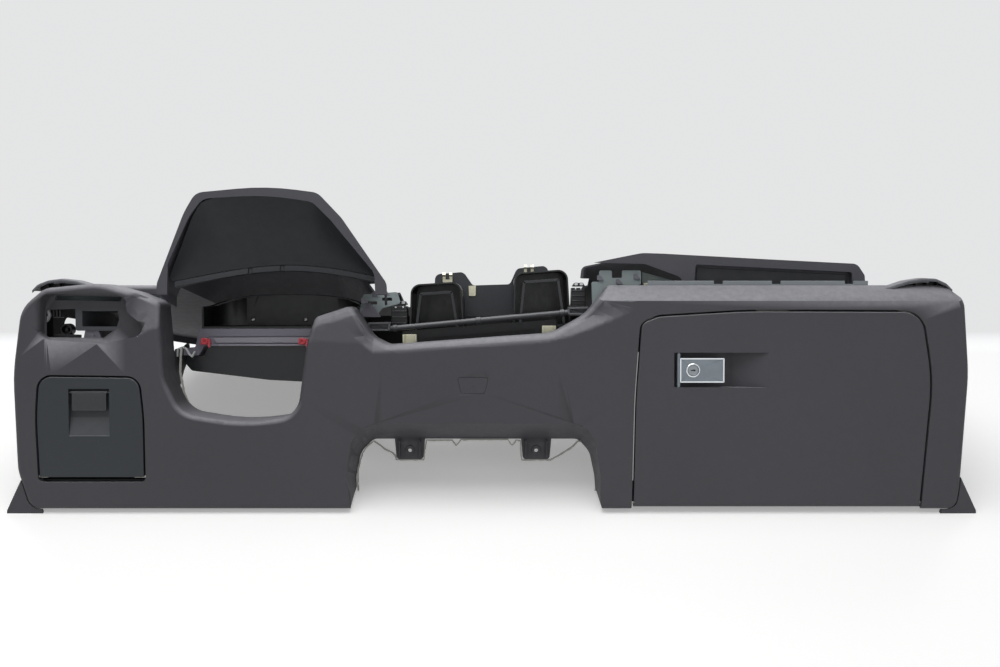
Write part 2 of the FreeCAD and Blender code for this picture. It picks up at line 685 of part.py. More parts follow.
# Hood lower strip: curved trim under the inner panel, with two clip notches.
STRIP_MID = (HOOD_LEFT + HOOD_RIGHT) / 2 - 8
STRIP_HALF = cell("strip_half")
strip = Part.Face(
    Part.Wire(
        [
            Part.Arc(
                Vector(STRIP_MID - STRIP_HALF, 0, PAD_FRONT + 12),
                Vector(STRIP_MID, 0, PANEL_FOOT - 1),
                Vector(STRIP_MID + STRIP_HALF, 0, PAD_FRONT + 14),
            ).toShape(),
            Part.LineSegment(
                Vector(
                    STRIP_MID + STRIP_HALF, 0, PAD_FRONT + 14
                ), Vector(STRIP_MID + STRIP_HALF, 0, PAD_FRONT + 3)
            ).toShape(),
            Part.Arc(
                Vector(STRIP_MID + STRIP_HALF, 0, PAD_FRONT + 3),
                Vector(STRIP_MID, 0, PANEL_FOOT - 15),
                Vector(STRIP_MID - STRIP_HALF, 0, PAD_FRONT + 2),
            ).toShape(),
            Part.LineSegment(
                Vector(STRIP_MID - STRIP_HALF, 0, PAD_FRONT + 2), Vector(
                    STRIP_MID - STRIP_HALF, 0, PAD_FRONT + 12
                )
            ).toShape(),
        ]
    )
).extrude(Vector(0, 6, 0))
strip.translate(Vector(0, PANEL_REACH - 7, 0))
strip = strip.common(room)
for notch in (STRIP_MID - 30, STRIP_MID + 22):
    strip = strip.cut(
        block(notch, notch + 8, PANEL_REACH - 8, PANEL_REACH - 3, PAD_FRONT, PANEL_FOOT + 5)
    )
node("hood_lower_strip", strip)

# Steering column strut: side plate that hangs from the left edge of the column opening.
strut_edge = [
    (PAD_NEAR, 170, 6), (PAD_NEAR, 250, 6), (96, 250, 6), (130, 258, 6), (130, 236, 12), (100, 214, 12)
]
plate("column_strut", rounded_wire(strut_edge, 0, "X"), COLUMN_LEFT - WALL, "Sizes.wall", "X")

# Column crossmember: channel that spans the column opening, with a lowered arm at its left end.
BAR_NEAR = cell("bar_near")
BAR_FAR = cell("bar_far")
BAR_TOP = cell("bar_top")
BAR_FOOT = cell("bar_foot")
BAR_LEFT = COLUMN_LEFT + 27
HOUSING_LEFT = CENTRE_LEFT - 30.0
bar_edge = [
    (COLUMN_LEFT + SEAT, BAR_FOOT - 15, 0),
    (COLUMN_LEFT + SEAT, BAR_FOOT - 4, 2),
    (BAR_LEFT - 8, BAR_FOOT - 2, 3),
    (BAR_LEFT, BAR_TOP, 3),
    (HOUSING_LEFT - SEAT, BAR_TOP, 0),
    (HOUSING_LEFT - SEAT, BAR_FOOT, 0),
    (BAR_LEFT + 6, BAR_FOOT, 3),
    (BAR_LEFT - 2, BAR_FOOT - 15, 3),
]
bar = slab(bar_edge, BAR_NEAR, BAR_FAR)
bar = bar.cut(block(BAR_LEFT + 8, 0, BAR_NEAR + 3, BAR_FAR + 5, BAR_FOOT - 5, BAR_TOP - 3))
bar = bar.cut(
    block(BAR_LEFT + 14, COLUMN_RIGHT + 8, BAR_NEAR - 1, BAR_NEAR + 1.5, BAR_FOOT + 4, BAR_TOP - 12)
)
node("column_crossmember", bar)

# Column clips: two red snap clips on the face of the crossmember.
clips = []
for left in (BAR_LEFT + 1, COLUMN_RIGHT - 30):
    clip = slab(
        [
            (left, BAR_FOOT + 1, 2),
            (left, BAR_TOP - 12, 3),
            (left + 18, BAR_TOP - 14, 3),
            (left + 18, BAR_FOOT + 1, 2),
        ],
        BAR_NEAR - 8,
        BAR_NEAR,
    )
    clips.append(
        clip.cut(
            Part.makeCylinder(2.2, 20, Vector(left + 8, BAR_NEAR - 12, BAR_FOOT + 8), Vector(0, 1, 0))
        )
    )
node("column_clips", Part.makeCompound(clips))

# Column bracket: pale wire-form stay beside the crossmember arm.
bracket_edge = [
    (COLUMN_LEFT + SEAT, 236, 1),
    (COLUMN_LEFT + SEAT, 254, 1),
    (COLUMN_LEFT + 22, 250, 3),
    (COLUMN_LEFT + 30, 238, 3),
    (COLUMN_LEFT + 24, 234, 2),
    (COLUMN_LEFT + 17, 244, 2),
    (COLUMN_LEFT + 6, 247, 2),
    (COLUMN_LEFT + 5, 236, 1),
]
plate("column_bracket", rounded_wire(bracket_edge), 62, "Sizes.stay_depth")

# Knee duct: black air duct under the crossmember, open at the back.
duct_edge = [
    (COLUMN_LEFT + 6, BAR_FOOT - 16, 3),
    (COLUMN_LEFT + 2, BAR_FOOT - 28, 4),
    (COLUMN_LEFT + 12, BAR_FOOT - 40, 6),
    (COLUMN_LEFT + 137, BAR_FOOT - 55, 30),
    (HOUSING_LEFT - 10, BAR_FOOT - 62, 4),
    (HOUSING_LEFT - 10, BAR_FOOT - SEAT, 4),
    (BAR_LEFT + 14, BAR_FOOT - SEAT, 4),
    (BAR_LEFT + 4, BAR_FOOT - 16, 4),
]
knee = slab(duct_edge, BAR_NEAR + 4, 150).cut(slab(duct_edge, BAR_NEAR + 6.5, 155, -2.5))
node("knee_duct", knee)

# Instrument tray: black tub that carried the instrument cluster, resting on the crossmember.
TRAY_LEFT = BAR_LEFT + 2
TRAY_RIGHT = HOUSING_LEFT - SEAT
TRAY_FLOOR = BAR_TOP + SEAT
tray_plan = [(TRAY_LEFT, 100, 0), (TRAY_LEFT, 195, 50), (TRAY_RIGHT, 195, 50), (TRAY_RIGHT, 100, 0)]
tray = slab(tray_plan, TRAY_FLOOR, TRAY_FLOOR + 53, 0, "Z")
tray_room = [
    (TRAY_LEFT + 3, 90, 0),
    (TRAY_LEFT + 3, 192, 47),
    (TRAY_RIGHT - 3, 192, 47),
    (TRAY_RIGHT - 3, 90, 0),
]
tray = tray.cut(slab(tray_room, TRAY_FLOOR + 3, TRAY_FLOOR + 80, 0, "Z"))
tray_face = [
    (TRAY_LEFT, TRAY_FLOOR, 0),
    (TRAY_LEFT, TRAY_FLOOR + 34, 0),
    (TRAY_LEFT + 30, TRAY_FLOOR + 45, 40),
    (TRAY_LEFT + 70, TRAY_FLOOR + 53, 60),
    (TRAY_RIGHT - 68, TRAY_FLOOR + 53, 60),
    (TRAY_RIGHT - 28, TRAY_FLOOR + 45, 40),
    (TRAY_RIGHT, TRAY_FLOOR + 34, 0),
    (TRAY_RIGHT, TRAY_FLOOR, 0),
]
node("instrument_tray", tray.common(slab(tray_face, 90, 210)))

# Centre housing: floor, sides and back that the air ducts and the brackets are fixed to.
HOUSING_RIGHT = CENTRE_RIGHT + 8.0
HOUSING_NEAR = cell("housing_near")
HOUSING_FAR = cell("housing_far")
HOUSING_FLOOR = cell("housing_floor")
HOUSING_TOP = cell("housing_top")
housing = block(HOUSING_LEFT, HOUSING_RIGHT, HOUSING_NEAR, HOUSING_FAR, HOUSING_FLOOR, HOUSING_TOP)
housing = housing.cut(
    block(
        HOUSING_LEFT + 3,
        HOUSING_RIGHT - 3,
        HOUSING_NEAR - 5,
        HOUSING_FAR - 3,
        HOUSING_FLOOR + 3,
        HOUSING_TOP + 5,
    )
)

# Centre ducts: two black rounded sockets for the centre vents, each with a closed back.
DUCT_WALL = cell("duct_wall")
DUCT_NEAR = cell("duct_near")
DUCTS = [
    ("centre_duct_left", [(-134, 262, 10), (-131, 352, 16), (-50, 357, 16), (-44, 266, 10)]),
    ("centre_duct_right", [(34, 270, 10), (36, 371, 16), (122, 377, 16), (128, 276, 10)]),
]
for label, edge in DUCTS:
    bore = slab(edge, DUCT_NEAR - 5, HOUSING_FAR - 3 - DUCT_WALL, -DUCT_WALL)
    node(label, slab(edge, DUCT_NEAR, HOUSING_FAR - 3).cut(bore))
node("centre_housing", housing)

# Rear channel: grey moulding behind the ducts, humped over each of them.
channel = slab(
    [
        (-104, 262, 0),
        (-98, 371, 10),
        (-50, 375, 10),
        (-34, 352, 8),
        (30, 354, 8),
        (42, 381, 10),
        (94, 386, 10),
        (112, 262, 0),
    ],
    HOUSING_FAR + SEAT,
    HOUSING_FAR + 30,
)
channel = channel.cut(block(-120, 130, HOUSING_FAR + 4, HOUSING_FAR + 40, 250, 342))
node("rear_channel", channel)

# Duct clips: bright spring clips on the humps of the rear channel.
springs = []
for side, left, low in (("left", -82, 355), ("right", 56, 366)):
    spring = box_item(
        f"spring_{side}", (
            left, HOUSING_FAR - 3, low
        ), "Sizes.clip_width", "3 + Sizes.seat_gap", "Sizes.clip_height"
    )
    bore = rod_item(
        f"spring_bore_{side}", (left + 10, HOUSING_FAR - 5, low + 7), (0, 1, 0), "Sizes.clip_bore", "9"
    )
    springs.append(cut_item(f"spring_clip_{side}", spring, bore))
pair("duct_clips", springs)

# Crossbar brackets: hooked ends behind the rim of the centre opening that carry the crossbar.
BAR_Y = (PAD_NEAR + HOUSING_NEAR - SEAT) / 2
LEFT_HOOK = [
    (HOUSING_LEFT, 250, 4),
    (HOUSING_LEFT, 290, 4),
    (-152, 286, 4),
    (-152, 268, 4),
    (-170, 262, 4),
    (-186, 250, 4),
]
RIGHT_HOOK = [
    (HOUSING_RIGHT, 290, 4), (HOUSING_RIGHT, 322, 4), (108, 320, 4), (108, 300, 4), (130, 298, 4)
]
for label, edge in (("crossbar_bracket_left", LEFT_HOOK), ("crossbar_bracket_right", RIGHT_HOOK)):
    hook = slab(edge, PAD_NEAR, HOUSING_NEAR - SEAT).cut(slab(edge, PAD_NEAR + 3, HOUSING_NEAR - 3, -3))
    node(label, hook)

# Crossbar: plain round bar from bracket to bracket.
BAR_TRIM = 0.9
bar_start = Vector(-152 + BAR_TRIM, BAR_Y, 277)
bar_way = Vector(108 - BAR_TRIM, BAR_Y, 310) - bar_start
piece(
    rod_item("crossbar", bar_start, bar_way, "Sizes.crossbar_radius", str(bar_way.Length)), "crossbar"
)

# Radio panel: upright black panel on the floor of the centre housing.
RADIO_NEAR = cell("radio_near")
radio_edge = [(-144, HOUSING_FLOOR + 3, 0), (-144, 277, 4), (104, 296, 4), (104, HOUSING_FLOOR + 3, 0)]
radio = plate("radio_panel", rounded_wire(radio_edge), RADIO_NEAR, "Sizes.wall")
radio_field = [(-108, 250, 4), (-108, 266, 4), (70, 280, 4), (70, 250, 4)]
recess(radio, "radio_recess", [rounded_wire(radio_field)], RADIO_NEAR, "0.4 * Sizes.wall")

# Radio brackets: folded sheet brackets on the face of the radio panel, open at the top.
FOLD = cell("fold")
feet = []
for side, left, low in (("left", -142, 254), ("right", 80, 268)):
    near = RADIO_NEAR - cell("stand_depth")
    foot = box_item(
        f"foot_{side}",
        (left, near, low),
        "Sizes.stand_width",
        "Sizes.stand_depth",
        "Sizes.stand_height",
    )
    room = box_item(
        f"foot_room_{side}",
        (left + FOLD, near - 1, low + FOLD),
        "Sizes.stand_width - 2 * Sizes.fold",
        "Sizes.stand_depth - Sizes.fold + 1",
        "Sizes.stand_height",
    )
    feet.append(cut_item(f"radio_bracket_{side}", foot, room))
pair("radio_brackets", feet)

# Side blocks: black connector blocks beside the ducts.
left_block = block(-162, -134.3, 108, 140, 279, 320).cut(block(-157, -140, 105, 120, 284, 312))
right_edge = [(125.9, 317, 0), (123.6, 356, 0), (154, 356, 0), (154, 317, 0)]
right_block = slab(right_edge, 108, 140).cut(block(133, 150, 105, 120, 322, 348))
node("side_blocks", Part.makeCompound([left_block, right_block]))

# Centre brackets: pale carriers of the structure under the pad, beside the centre opening.
left_edge = [
    (HOUSING_LEFT, HOUSING_TOP, 0),
    (HOUSING_LEFT + 8, 336, 4),
    (-152, 340, 4),
    (-146, 322, 4),
    (-176, 314, 6),
    (-186, HOUSING_TOP, 0),
]
left_windows = [[(-200, 320), (-184, 325)], [(-176, 326), (-160, 331)]]
left_plate = plate("centre_bracket_left", rounded_wire(left_edge), RADIO_NEAR, "Sizes.plate_depth")
window_wires = [
    rounded_wire(
        [(low[0], low[1], 0), (low[0], high[1], 0), (high[0], high[1], 0), (high[0], low[1], 0)]
    )
    for low, high in left_windows
]
recess(left_plate, "left_bracket_windows", window_wires, RADIO_NEAR, "Sizes.plate_depth + 1")
BEAM_NEAR = PAD_NEAR + PAD_WALL + SEAT
BEAM_TOP = cell("beam_top")
right_plate = slab(
    [
        (160, 282, 2),
        (158, 356, 3),
        (170, 356, 2),
        (170, 374, 3),
        (190, 374, 3),
        (190, 362, 2),
        (206, 362, 2),
        (206, 374, 2),
        (236, 374, 3),
        (236, 352, 3),
        (212, 346, 6),
        (HOUSING_RIGHT + 3, BEAM_TOP + 3, 4),
        (HOUSING_RIGHT, 282, 0),
    ],
    HOUSING_NEAR - 5,
    HOUSING_NEAR - SEAT,
)
right_plate = right_plate.cut(slab(RIGHT_HOOK, PAD_NEAR - 1, HOUSING_NEAR + 1, SEAT))
right_plate = max(right_plate.Solids, key=lambda part: part.Volume)
node("centre_bracket_right", right_plate)

# Trim rail: light rail on top of the passenger shelf, with square clip holes.
RAIL_LEFT = BROW_LEFT + 106
rail = block(RAIL_LEFT, BROW_RIGHT, 40, 58, SHELF_BACK, SHELF_BACK + 7)
rail = rail.cut(block(RAIL_LEFT - 1, BROW_RIGHT + 1, 44, 60, SHELF_BACK + 2, SHELF_BACK + 9))
for left in (345, 435, 548):
    rail = rail.cut(block(left, left + 14, 42, 50, SHELF_BACK - 1, SHELF_BACK + 3))
    rail = rail.cut(block(left, left + 14, 38, 46, SHELF_BACK + 2, SHELF_BACK + 9))
node("trim_rail", rail)

# Carrier beams: channels under the front edge of the pad, to the right and to the left.
beam = block(196, 690, BEAM_NEAR, 94, HOUSING_TOP, BEAM_TOP)
beam = beam.cut(block(190, 700, BEAM_NEAR + 3, 91, HOUSING_TOP - 5, BEAM_TOP - 3))
web = slab([(240, BEAM_TOP - 2, 0), (240, 372, 0), (320, 350, 0), (334, BEAM_TOP - 2, 0)], 88, 92)
node("carrier_beam_right", beam.fuse(web))
BEAM_DEPTH = 94 - BEAM_NEAR
LEFT_BEAM = -690
left_length = f"{COLUMN_LEFT - 20 - LEFT_BEAM}"
beam_outer = box_item(
    "left_beam_outer", (LEFT_BEAM, BEAM_NEAR, BEAM_TOP - 16), left_length, f"{BEAM_DEPTH}", "16"
)
beam_room = box_item(
    "left_beam_room", (
        LEFT_BEAM, BEAM_NEAR + WALL, BEAM_TOP - 20
    ), left_length, f"{BEAM_DEPTH} - 2 * Sizes.wall", "17"
)
piece(cut_item("carrier_beam_left", beam_outer, beam_room), "carrier_beam_left")

# Trim clip: folded bright clip on top of the right beam.
clip_outer = box_item("trim_clip_outer", (240, 70, BEAM_TOP), "26", "14", "20")
clip_room = box_item("trim_clip_room", (246, 68, BEAM_TOP + 6), "14", "18", "8")
piece(cut_item("trim_clip", clip_outer, clip_room), "trim_clip")

# Side vent duct: grey funnel behind the switch bay.
funnel_front = [(-632, 284, 0), (-632, 313, 0), (-566, 313, 0), (-574, 284, 0)]
funnel_back = [(-622, 280, 0), (-622, 306, 0), (-580, 306, 0), (-584, 280, 0)]
flange_edge = [(-640, 280, 4), (-640, 324, 4), (-558, 324, 4), (-566, 280, 4)]
BAY_BACK = BAY_DEPTH + WALL
funnel = flare(funnel_front, funnel_back, BAY_BACK, 130)
funnel = funnel.fuse(slab(flange_edge, BAY_BACK, BAY_BACK + 3))
funnel = funnel.cut(flare(funnel_front, funnel_back, BAY_BACK - 0.01, 130.01, -2.5))
node("side_vent_duct", funnel)

# Switch bracket: pale hooked stay at the left of the switch bay.
switch_edge = [
    (-700, 272, 2),
    (-700, 318, 2),
    (-668, 318, 2),
    (-668, 308, 2),
    (-678, 304, 3),
    (-678, 286, 3),
    (-668, 280, 2),
    (-668, 272, 2),
]
plate("switch_bracket", rounded_wire(switch_edge), BAY_BACK, "Sizes.stay_depth")

# Side vent hoops: thin curved rims of the demister outlets on the top corners.
left_hoop = [
    (-700, SHELF_BACK - 14, 0),
    (-690, SHELF_BACK + 1, 14),
    (-626, SHELF_BACK + 14, 30),
    (-578, SHELF_BACK - 14, 0),
]
right_hoop = [
    (598, SHELF_BACK - 14, 0),
    (622, SHELF_BACK + 12, 20),
    (684, SHELF_BACK + 9, 20),
    (708, SHELF_BACK - 14, 0),
]
solid_fascia = slab(FASCIA_EDGE, -1, DEPTH + 30, 0)
for label, edge in (("side_vent_hoop_left", left_hoop), ("side_vent_hoop_right", right_hoop)):
    hoop = slab(edge, 20, 58).cut(slab(edge, 15, 70, -3)).cut(solid_fascia)
    hoop = hoop.cut(
        slab([(0, 0, 0), (0, SHELF_BACK - 3, 0), (800, SHELF_BACK - 3, 0), (800, 0, 0)], 10, 70)
    )
    node(label, max(hoop.Solids, key=lambda part: part.Volume))


# Glovebox lid: pan-shaped outer moulding with a finger scoop and a round lower edge that is
# centred on its hinge, so that it turns in place.
LID_DEPTH = cell("lid_depth")
HINGE_Y, HINGE_Z = GLOVE_HINGE
HANDLE_LEFT = cell("handle_left")
HANDLE_WIDTH = cell("handle_width")
HANDLE_FLOOR = cell("handle_floor")
HANDLE_TOP = HANDLE_FLOOR + cell("handle_height")
HANDLE_PLATE = cell("handle_plate")
SCOOP_DEPTH = cell("scoop_depth")
SCOOP_WALL = cell("scoop_wall")
SCOOP_LEFT = HANDLE_LEFT - 4.5
SCOOP_RIGHT = HANDLE_LEFT + HANDLE_WIDTH + 64
SCOOP_LOW = HANDLE_FLOOR - 3.5
SCOOP_HIGH = HANDLE_TOP + 4
scoop_plan = [
    (SCOOP_LEFT, -1, 0),
    (SCOOP_LEFT, SCOOP_DEPTH, 4),
    (HANDLE_LEFT + HANDLE_WIDTH + 6, SCOOP_DEPTH, 20),
    (SCOOP_RIGHT, 0, 6),
    (SCOOP_RIGHT + 4, -1, 0),
]
scoop_shell = slab(scoop_plan, SCOOP_LOW - SCOOP_WALL, SCOOP_HIGH + SCOOP_WALL, SCOOP_WALL, "Z")
scoop_shell = scoop_shell.common(block(0, 700, 1, 60, 0, 400))
scoop_room = slab(scoop_plan, SCOOP_LOW, SCOOP_HIGH, 0, "Z")
above_hinge = block(0, 800, -5, 60, HINGE_Z, 400)
lid = slab(GLOVE_EDGE, 0, LID_DEPTH).common(above_hinge)
lid = lid.makeFillet(
    1.5, [edge for edge in lid.Edges if edge.BoundBox.YMax < 0.01 and edge.BoundBox.ZMin > HINGE_Z]
)
lid = lid.cut(
    slab(GLOVE_EDGE, WALL, LID_DEPTH + 5, -WALL).common(block(0, 800, -5, 60, HINGE_Z + 3, 400))
)
roll = slab(GLOVE_EDGE, -1, 2 * EDGE + 1).common(rod(0, 800, HINGE_Y, HINGE_Z, EDGE))
lid = lid.fuse(roll).fuse(scoop_shell).cut(scoop_room)
PIN_REACH = cell("pin_reach")
pin_ends = [(GLOVE_LEFT - 8, GLOVE_LEFT + PIN_REACH), (GLOVE_RIGHT - PIN_REACH - 18, GLOVE_RIGHT - 9)]
for start, end in pin_ends:
    lid = lid.cut(rod(start - 1, end + 1, HINGE_Y, HINGE_Z, PIN + PLAY))
PIVOT_X = HANDLE_LEFT + 3
PIVOT_Y = HANDLE_PLATE
HANDLE_PIN = cell("handle_pin")


def upright(x, y, low, high, radius):
    return Part.makeCylinder(radius, high - low, Vector(x, y, low), Vector(0, 0, 1))


lid = lid.cut(upright(PIVOT_X, PIVOT_Y, SCOOP_LOW - 5, SCOOP_HIGH + 5, HANDLE_PIN + PLAY))
node("glovebox_lid", lid)
pins = [
    rod_item(
        f"glovebox_pin_{number}",
        (start, HINGE_Y, HINGE_Z),
        (1, 0, 0),
        "Sizes.pin_radius",
        f"{end - start}",
    )
    for number, (start, end) in enumerate(pin_ends, start=1)
]
pair("glovebox_hinge_pins", pins)

# Glovebox tub: inner panel of the lid with the bucket behind it, open at the top.
TUB_DEPTH = cell("tub_depth")
TUB_WALL = cell("tub_wall")
TUB_LEFT = GLOVE_LEFT + 26
TUB_RIGHT = GLOVE_RIGHT - 30
LATCH_X = (GLOVE_LEFT + GLOVE_RIGHT) / 2
STRIKER_Z = GLOVE_TOP - 18
tub_side = [
    (LID_DEPTH, HINGE_Z + 28, 0),
    (LID_DEPTH, GLOVE_TOP - 48, 0),
    (64, GLOVE_TOP - 48, 8),
    (TUB_DEPTH, GLOVE_TOP - 66, 14),
    (TUB_DEPTH, 150, 40),
    (74, HINGE_Z + 30, 20),
]
inner_side = [
    (LID_DEPTH - 10, HINGE_Z + 28 + TUB_WALL, 0),
    (LID_DEPTH - 10, GLOVE_TOP + 80, 0),
    (TUB_DEPTH - TUB_WALL, GLOVE_TOP + 80, 0),
    (TUB_DEPTH - TUB_WALL, 150, 40),
    (74, HINGE_Z + 30 + TUB_WALL, 20),
]
inner_panel = slab(
    GLOVE_EDGE, LID_DEPTH, LID_DEPTH + TUB_WALL, -1
).common(block(0, 800, 0, 60, HINGE_Z + 1, 400))
tub = inner_panel.fuse(slab(tub_side, TUB_LEFT, TUB_RIGHT, 0, "X"))
tub_room = slab(inner_side, TUB_LEFT + TUB_WALL, TUB_RIGHT - TUB_WALL, 0, "X")
tub = tub.cut(tub_room.common(block(0, 800, 0, 400, 0, GLOVE_TOP - 52))).cut(
    tub_room.common(block(0, 800, LID_DEPTH + TUB_WALL, 400, GLOVE_TOP - 60, 500))
)
LATCH_HALF = cell("latch_half")
tub = tub.cut(
    block(LATCH_X - LATCH_HALF - 1, LATCH_X + LATCH_HALF + 1, 0, 40, STRIKER_Z - 11, STRIKER_Z + 11)
)
node("glovebox_tub", tub)

# Glovebox latch: block on the lid whose slot slides over the striker bar.
STRIKER_Y = cell("striker_depth")
STRIKER_R = cell("striker_radius")
latch_block = box_item(
    "latch_block",
    (LATCH_X - LATCH_HALF, WALL, STRIKER_Z - cell("latch_block") / 2),
    "2 * Sizes.latch_half",
    "Sizes.striker_depth + 6 - Sizes.wall",
    "Sizes.latch_block",
)
latch_slot = box_item(
    "latch_slot",
    (LATCH_X - 2 * LATCH_HALF, STRIKER_Y - 6, STRIKER_Z - cell("latch_slot") / 2),
    "4 * Sizes.latch_half",
    "16",
    "Sizes.latch_slot",
)
piece(cut_item("glovebox_latch", latch_block, latch_slot), "glovebox_latch")

# Glovebox striker: wire loop on a plate that hangs from the carrier beam.
LOOP_HALF = LATCH_HALF + 6
striker_plate = block(
    LATCH_X - LOOP_HALF - 6, LATCH_X + LOOP_HALF + 6, BEAM_NEAR - 3.3, BEAM_NEAR - SEAT, STRIKER_Z - 6, BEAM_TOP - 4
)
loop = rod(LATCH_X - LOOP_HALF, LATCH_X + LOOP_HALF, STRIKER_Y, STRIKER_Z, STRIKER_R)
for end in (LATCH_X - LOOP_HALF, LATCH_X + LOOP_HALF):
    leg = Part.makeCylinder(
        STRIKER_R, BEAM_NEAR - 2 - STRIKER_Y, Vector(end, STRIKER_Y, STRIKER_Z), Vector(0, 1, 0)
    )
    loop = loop.fuse(leg).fuse(Part.makeSphere(STRIKER_R, Vector(end, STRIKER_Y, STRIKER_Z)))
node("glovebox_striker", striker_plate.fuse(loop))

# Glovebox sill: closing panel under the lid, between the legs of the fascia.
MARGIN = cell("bench_margin")
SILL_NEAR = LID_DEPTH + TUB_WALL + 2
sill_side = [
    (SILL_NEAR, FOOT + MARGIN * SILL_NEAR, 0),
    (SILL_NEAR, FOOT + 20, 0),
    (DEPTH - 4, FOOT + 34, 0),
    (DEPTH, FOOT + 34, 0),
    (DEPTH, FOOT + MARGIN * DEPTH, 0),
]
sill_form = slab(sill_side, GLOVE_LEFT - 20, GLOVE_RIGHT + 20, 0, "X")
sill_void = slab(sill_side, GLOVE_LEFT - 30, GLOVE_RIGHT + 30, -2.5, "X")
sill = sill_form.cut(sill_void).common(slab(GLOVE_EDGE, 5, DEPTH + 5, GAP - SEAT))
for left in (GLOVE_LEFT + 24, GLOVE_LEFT + 300):
    sill = sill.cut(block(left, left + 30, 5, SILL_NEAR + 6, FOOT - 5, FOOT + 14))
node("glovebox_sill", sill)

# Glovebox handle: satin plate that pivots on an upright pin at its left edge.
handle_edge = [
    (HANDLE_LEFT, HANDLE_FLOOR, 5),
    (HANDLE_LEFT - 1, (HANDLE_FLOOR + HANDLE_TOP) / 2, 300),
    (HANDLE_LEFT, HANDLE_TOP, 5),
    (HANDLE_LEFT + HANDLE_WIDTH, HANDLE_TOP, 5),
    (HANDLE_LEFT + HANDLE_WIDTH + 1, (HANDLE_FLOOR + HANDLE_TOP) / 2, 300),
    (HANDLE_LEFT + HANDLE_WIDTH, HANDLE_FLOOR, 5),
]
LOCK_R = cell("lock_radius")
LOCK_X = HANDLE_LEFT + 24
LOCK_Z = (HANDLE_FLOOR + HANDLE_TOP) / 2
handle_plate = slab(handle_edge, -1.5, HANDLE_PLATE - 1.5)
plate_rim = [edge for edge in handle_plate.Edges if edge.BoundBox.YMax < -1.49]
handle_plate = handle_plate.makeChamfer(0.9, plate_rim)
handle = handle_plate.fuse(upright(PIVOT_X, PIVOT_Y, SCOOP_LOW + 1, SCOOP_HIGH - 1, 3.0))
handle = handle.fuse(
    upright(PIVOT_X, PIVOT_Y, SCOOP_LOW - SCOOP_WALL, SCOOP_HIGH + SCOOP_WALL, HANDLE_PIN)
)
barrel = Part.makeCylinder(LOCK_R + 3, 11, Vector(LOCK_X, 2, LOCK_Z), Vector(0, 1, 0))
handle = handle.fuse(barrel)
handle = handle.cut(Part.makeCylinder(LOCK_R + PLAY, 40, Vector(LOCK_X, -5, LOCK_Z), Vector(0, 1, 0)))
node("glovebox_handle", handle)

# Lock cylinder: turned plug with a key slot, carried by the handle.
lock = Part.makeCylinder(LOCK_R, 16, Vector(LOCK_X, -2.2, LOCK_Z), Vector(0, 1, 0))
lock = lock.makeChamfer(0.6, [edge for edge in lock.Edges if edge.BoundBox.YMax < -2.1])
lock = lock.cut(block(LOCK_X - 4.5, LOCK_X + 4.5, -4, 9, LOCK_Z - 1.1, LOCK_Z + 1.1))
node("lock_cylinder", lock)

# Storage lid: flat lid with a latch recess, hinged along its round lower edge.
STORE_Y, STORE_Z = STORE_HINGE
STORE_R = EDGE - 1
STORE_PLATE = 2 * STORE_R
LATCH_LEFT = cell("latch_left")
LATCH_WIDTH = cell("latch_width")
LATCH_LOW = cell("latch_floor")
LATCH_TOP = LATCH_LOW + cell("latch_height")
store_lid = slab(STORE_EDGE, 0, STORE_PLATE).common(block(-800, 0, -5, 60, STORE_Z, 400))
store_lid = store_lid.makeFillet(
    1.5, [
        edge for edge in store_lid.Edges if edge.BoundBox.YMax < 0.01 and edge.BoundBox.ZMin > STORE_Z
    ]
)
roll = slab(STORE_EDGE, -1, STORE_PLATE + 1).common(rod(-800, 0, STORE_Y, STORE_Z, STORE_R))
store_lid = store_lid.fuse(roll)
RECESS_SIDE = cell("recess_side")
recess_side = [
    (-1, LATCH_TOP + 3, 0),
    (8, LATCH_TOP + 3, 2),
    (8, LATCH_LOW - 8, 8),
    (0, LATCH_LOW - 38, 4),
    (-1, LATCH_LOW - 38, 0),
]
store_lid = store_lid.cut(
    slab(recess_side, LATCH_LEFT - RECESS_SIDE, LATCH_LEFT + LATCH_WIDTH + RECESS_SIDE, 0, "X")
)
LATCH_PIVOT = (3.2, LATCH_TOP - 2.5)
LATCH_PIN = cell("latch_pin")
LATCH_REACH = RECESS_SIDE + 3
store_lid = store_lid.cut(
    rod(
        LATCH_LEFT - LATCH_REACH - 1,
        LATCH_LEFT + LATCH_WIDTH + LATCH_REACH + 1,
        *LATCH_PIVOT,
        LATCH_PIN + PLAY,
    )
)
STORE_PINS = [(STORE_LEFT - 7, STORE_LEFT + 14), (STORE_RIGHT - 14, STORE_RIGHT + 7)]
for start, end in STORE_PINS:
    store_lid = store_lid.cut(
        rod(start, end + 1 if start < STORE_LEFT else end, STORE_Y, STORE_Z, PIN + PLAY)
    )
node("storage_lid", store_lid)
pins = [
    rod_item(
        f"storage_pin_{number}",
        (start, STORE_Y, STORE_Z),
        (1, 0, 0),
        "Sizes.pin_radius",
        f"{end - start}",
    )
    for number, (start, end) in enumerate(STORE_PINS, start=1)
]
pair("storage_hinge_pins", pins)

# Storage handle: glossy flap with its pivot at the top edge.
flap = slab(
    [
        (LATCH_LEFT, LATCH_LOW, 3),
        (LATCH_LEFT, LATCH_TOP, 3),
        (LATCH_LEFT + LATCH_WIDTH, LATCH_TOP, 3),
        (LATCH_LEFT + LATCH_WIDTH, LATCH_LOW, 3),
    ],
    -0.5,
    3.5,
)
flap = flap.makeChamfer(0.8, [edge for edge in flap.Edges if edge.BoundBox.YMax < -0.49])
flap = flap.fuse(rod(LATCH_LEFT + 0.5, LATCH_LEFT + LATCH_WIDTH - 0.5, *LATCH_PIVOT, 2.4))
flap = flap.fuse(
    rod(LATCH_LEFT - LATCH_REACH, LATCH_LEFT + LATCH_WIDTH + LATCH_REACH, *LATCH_PIVOT, LATCH_PIN)
)
node("storage_handle", flap)

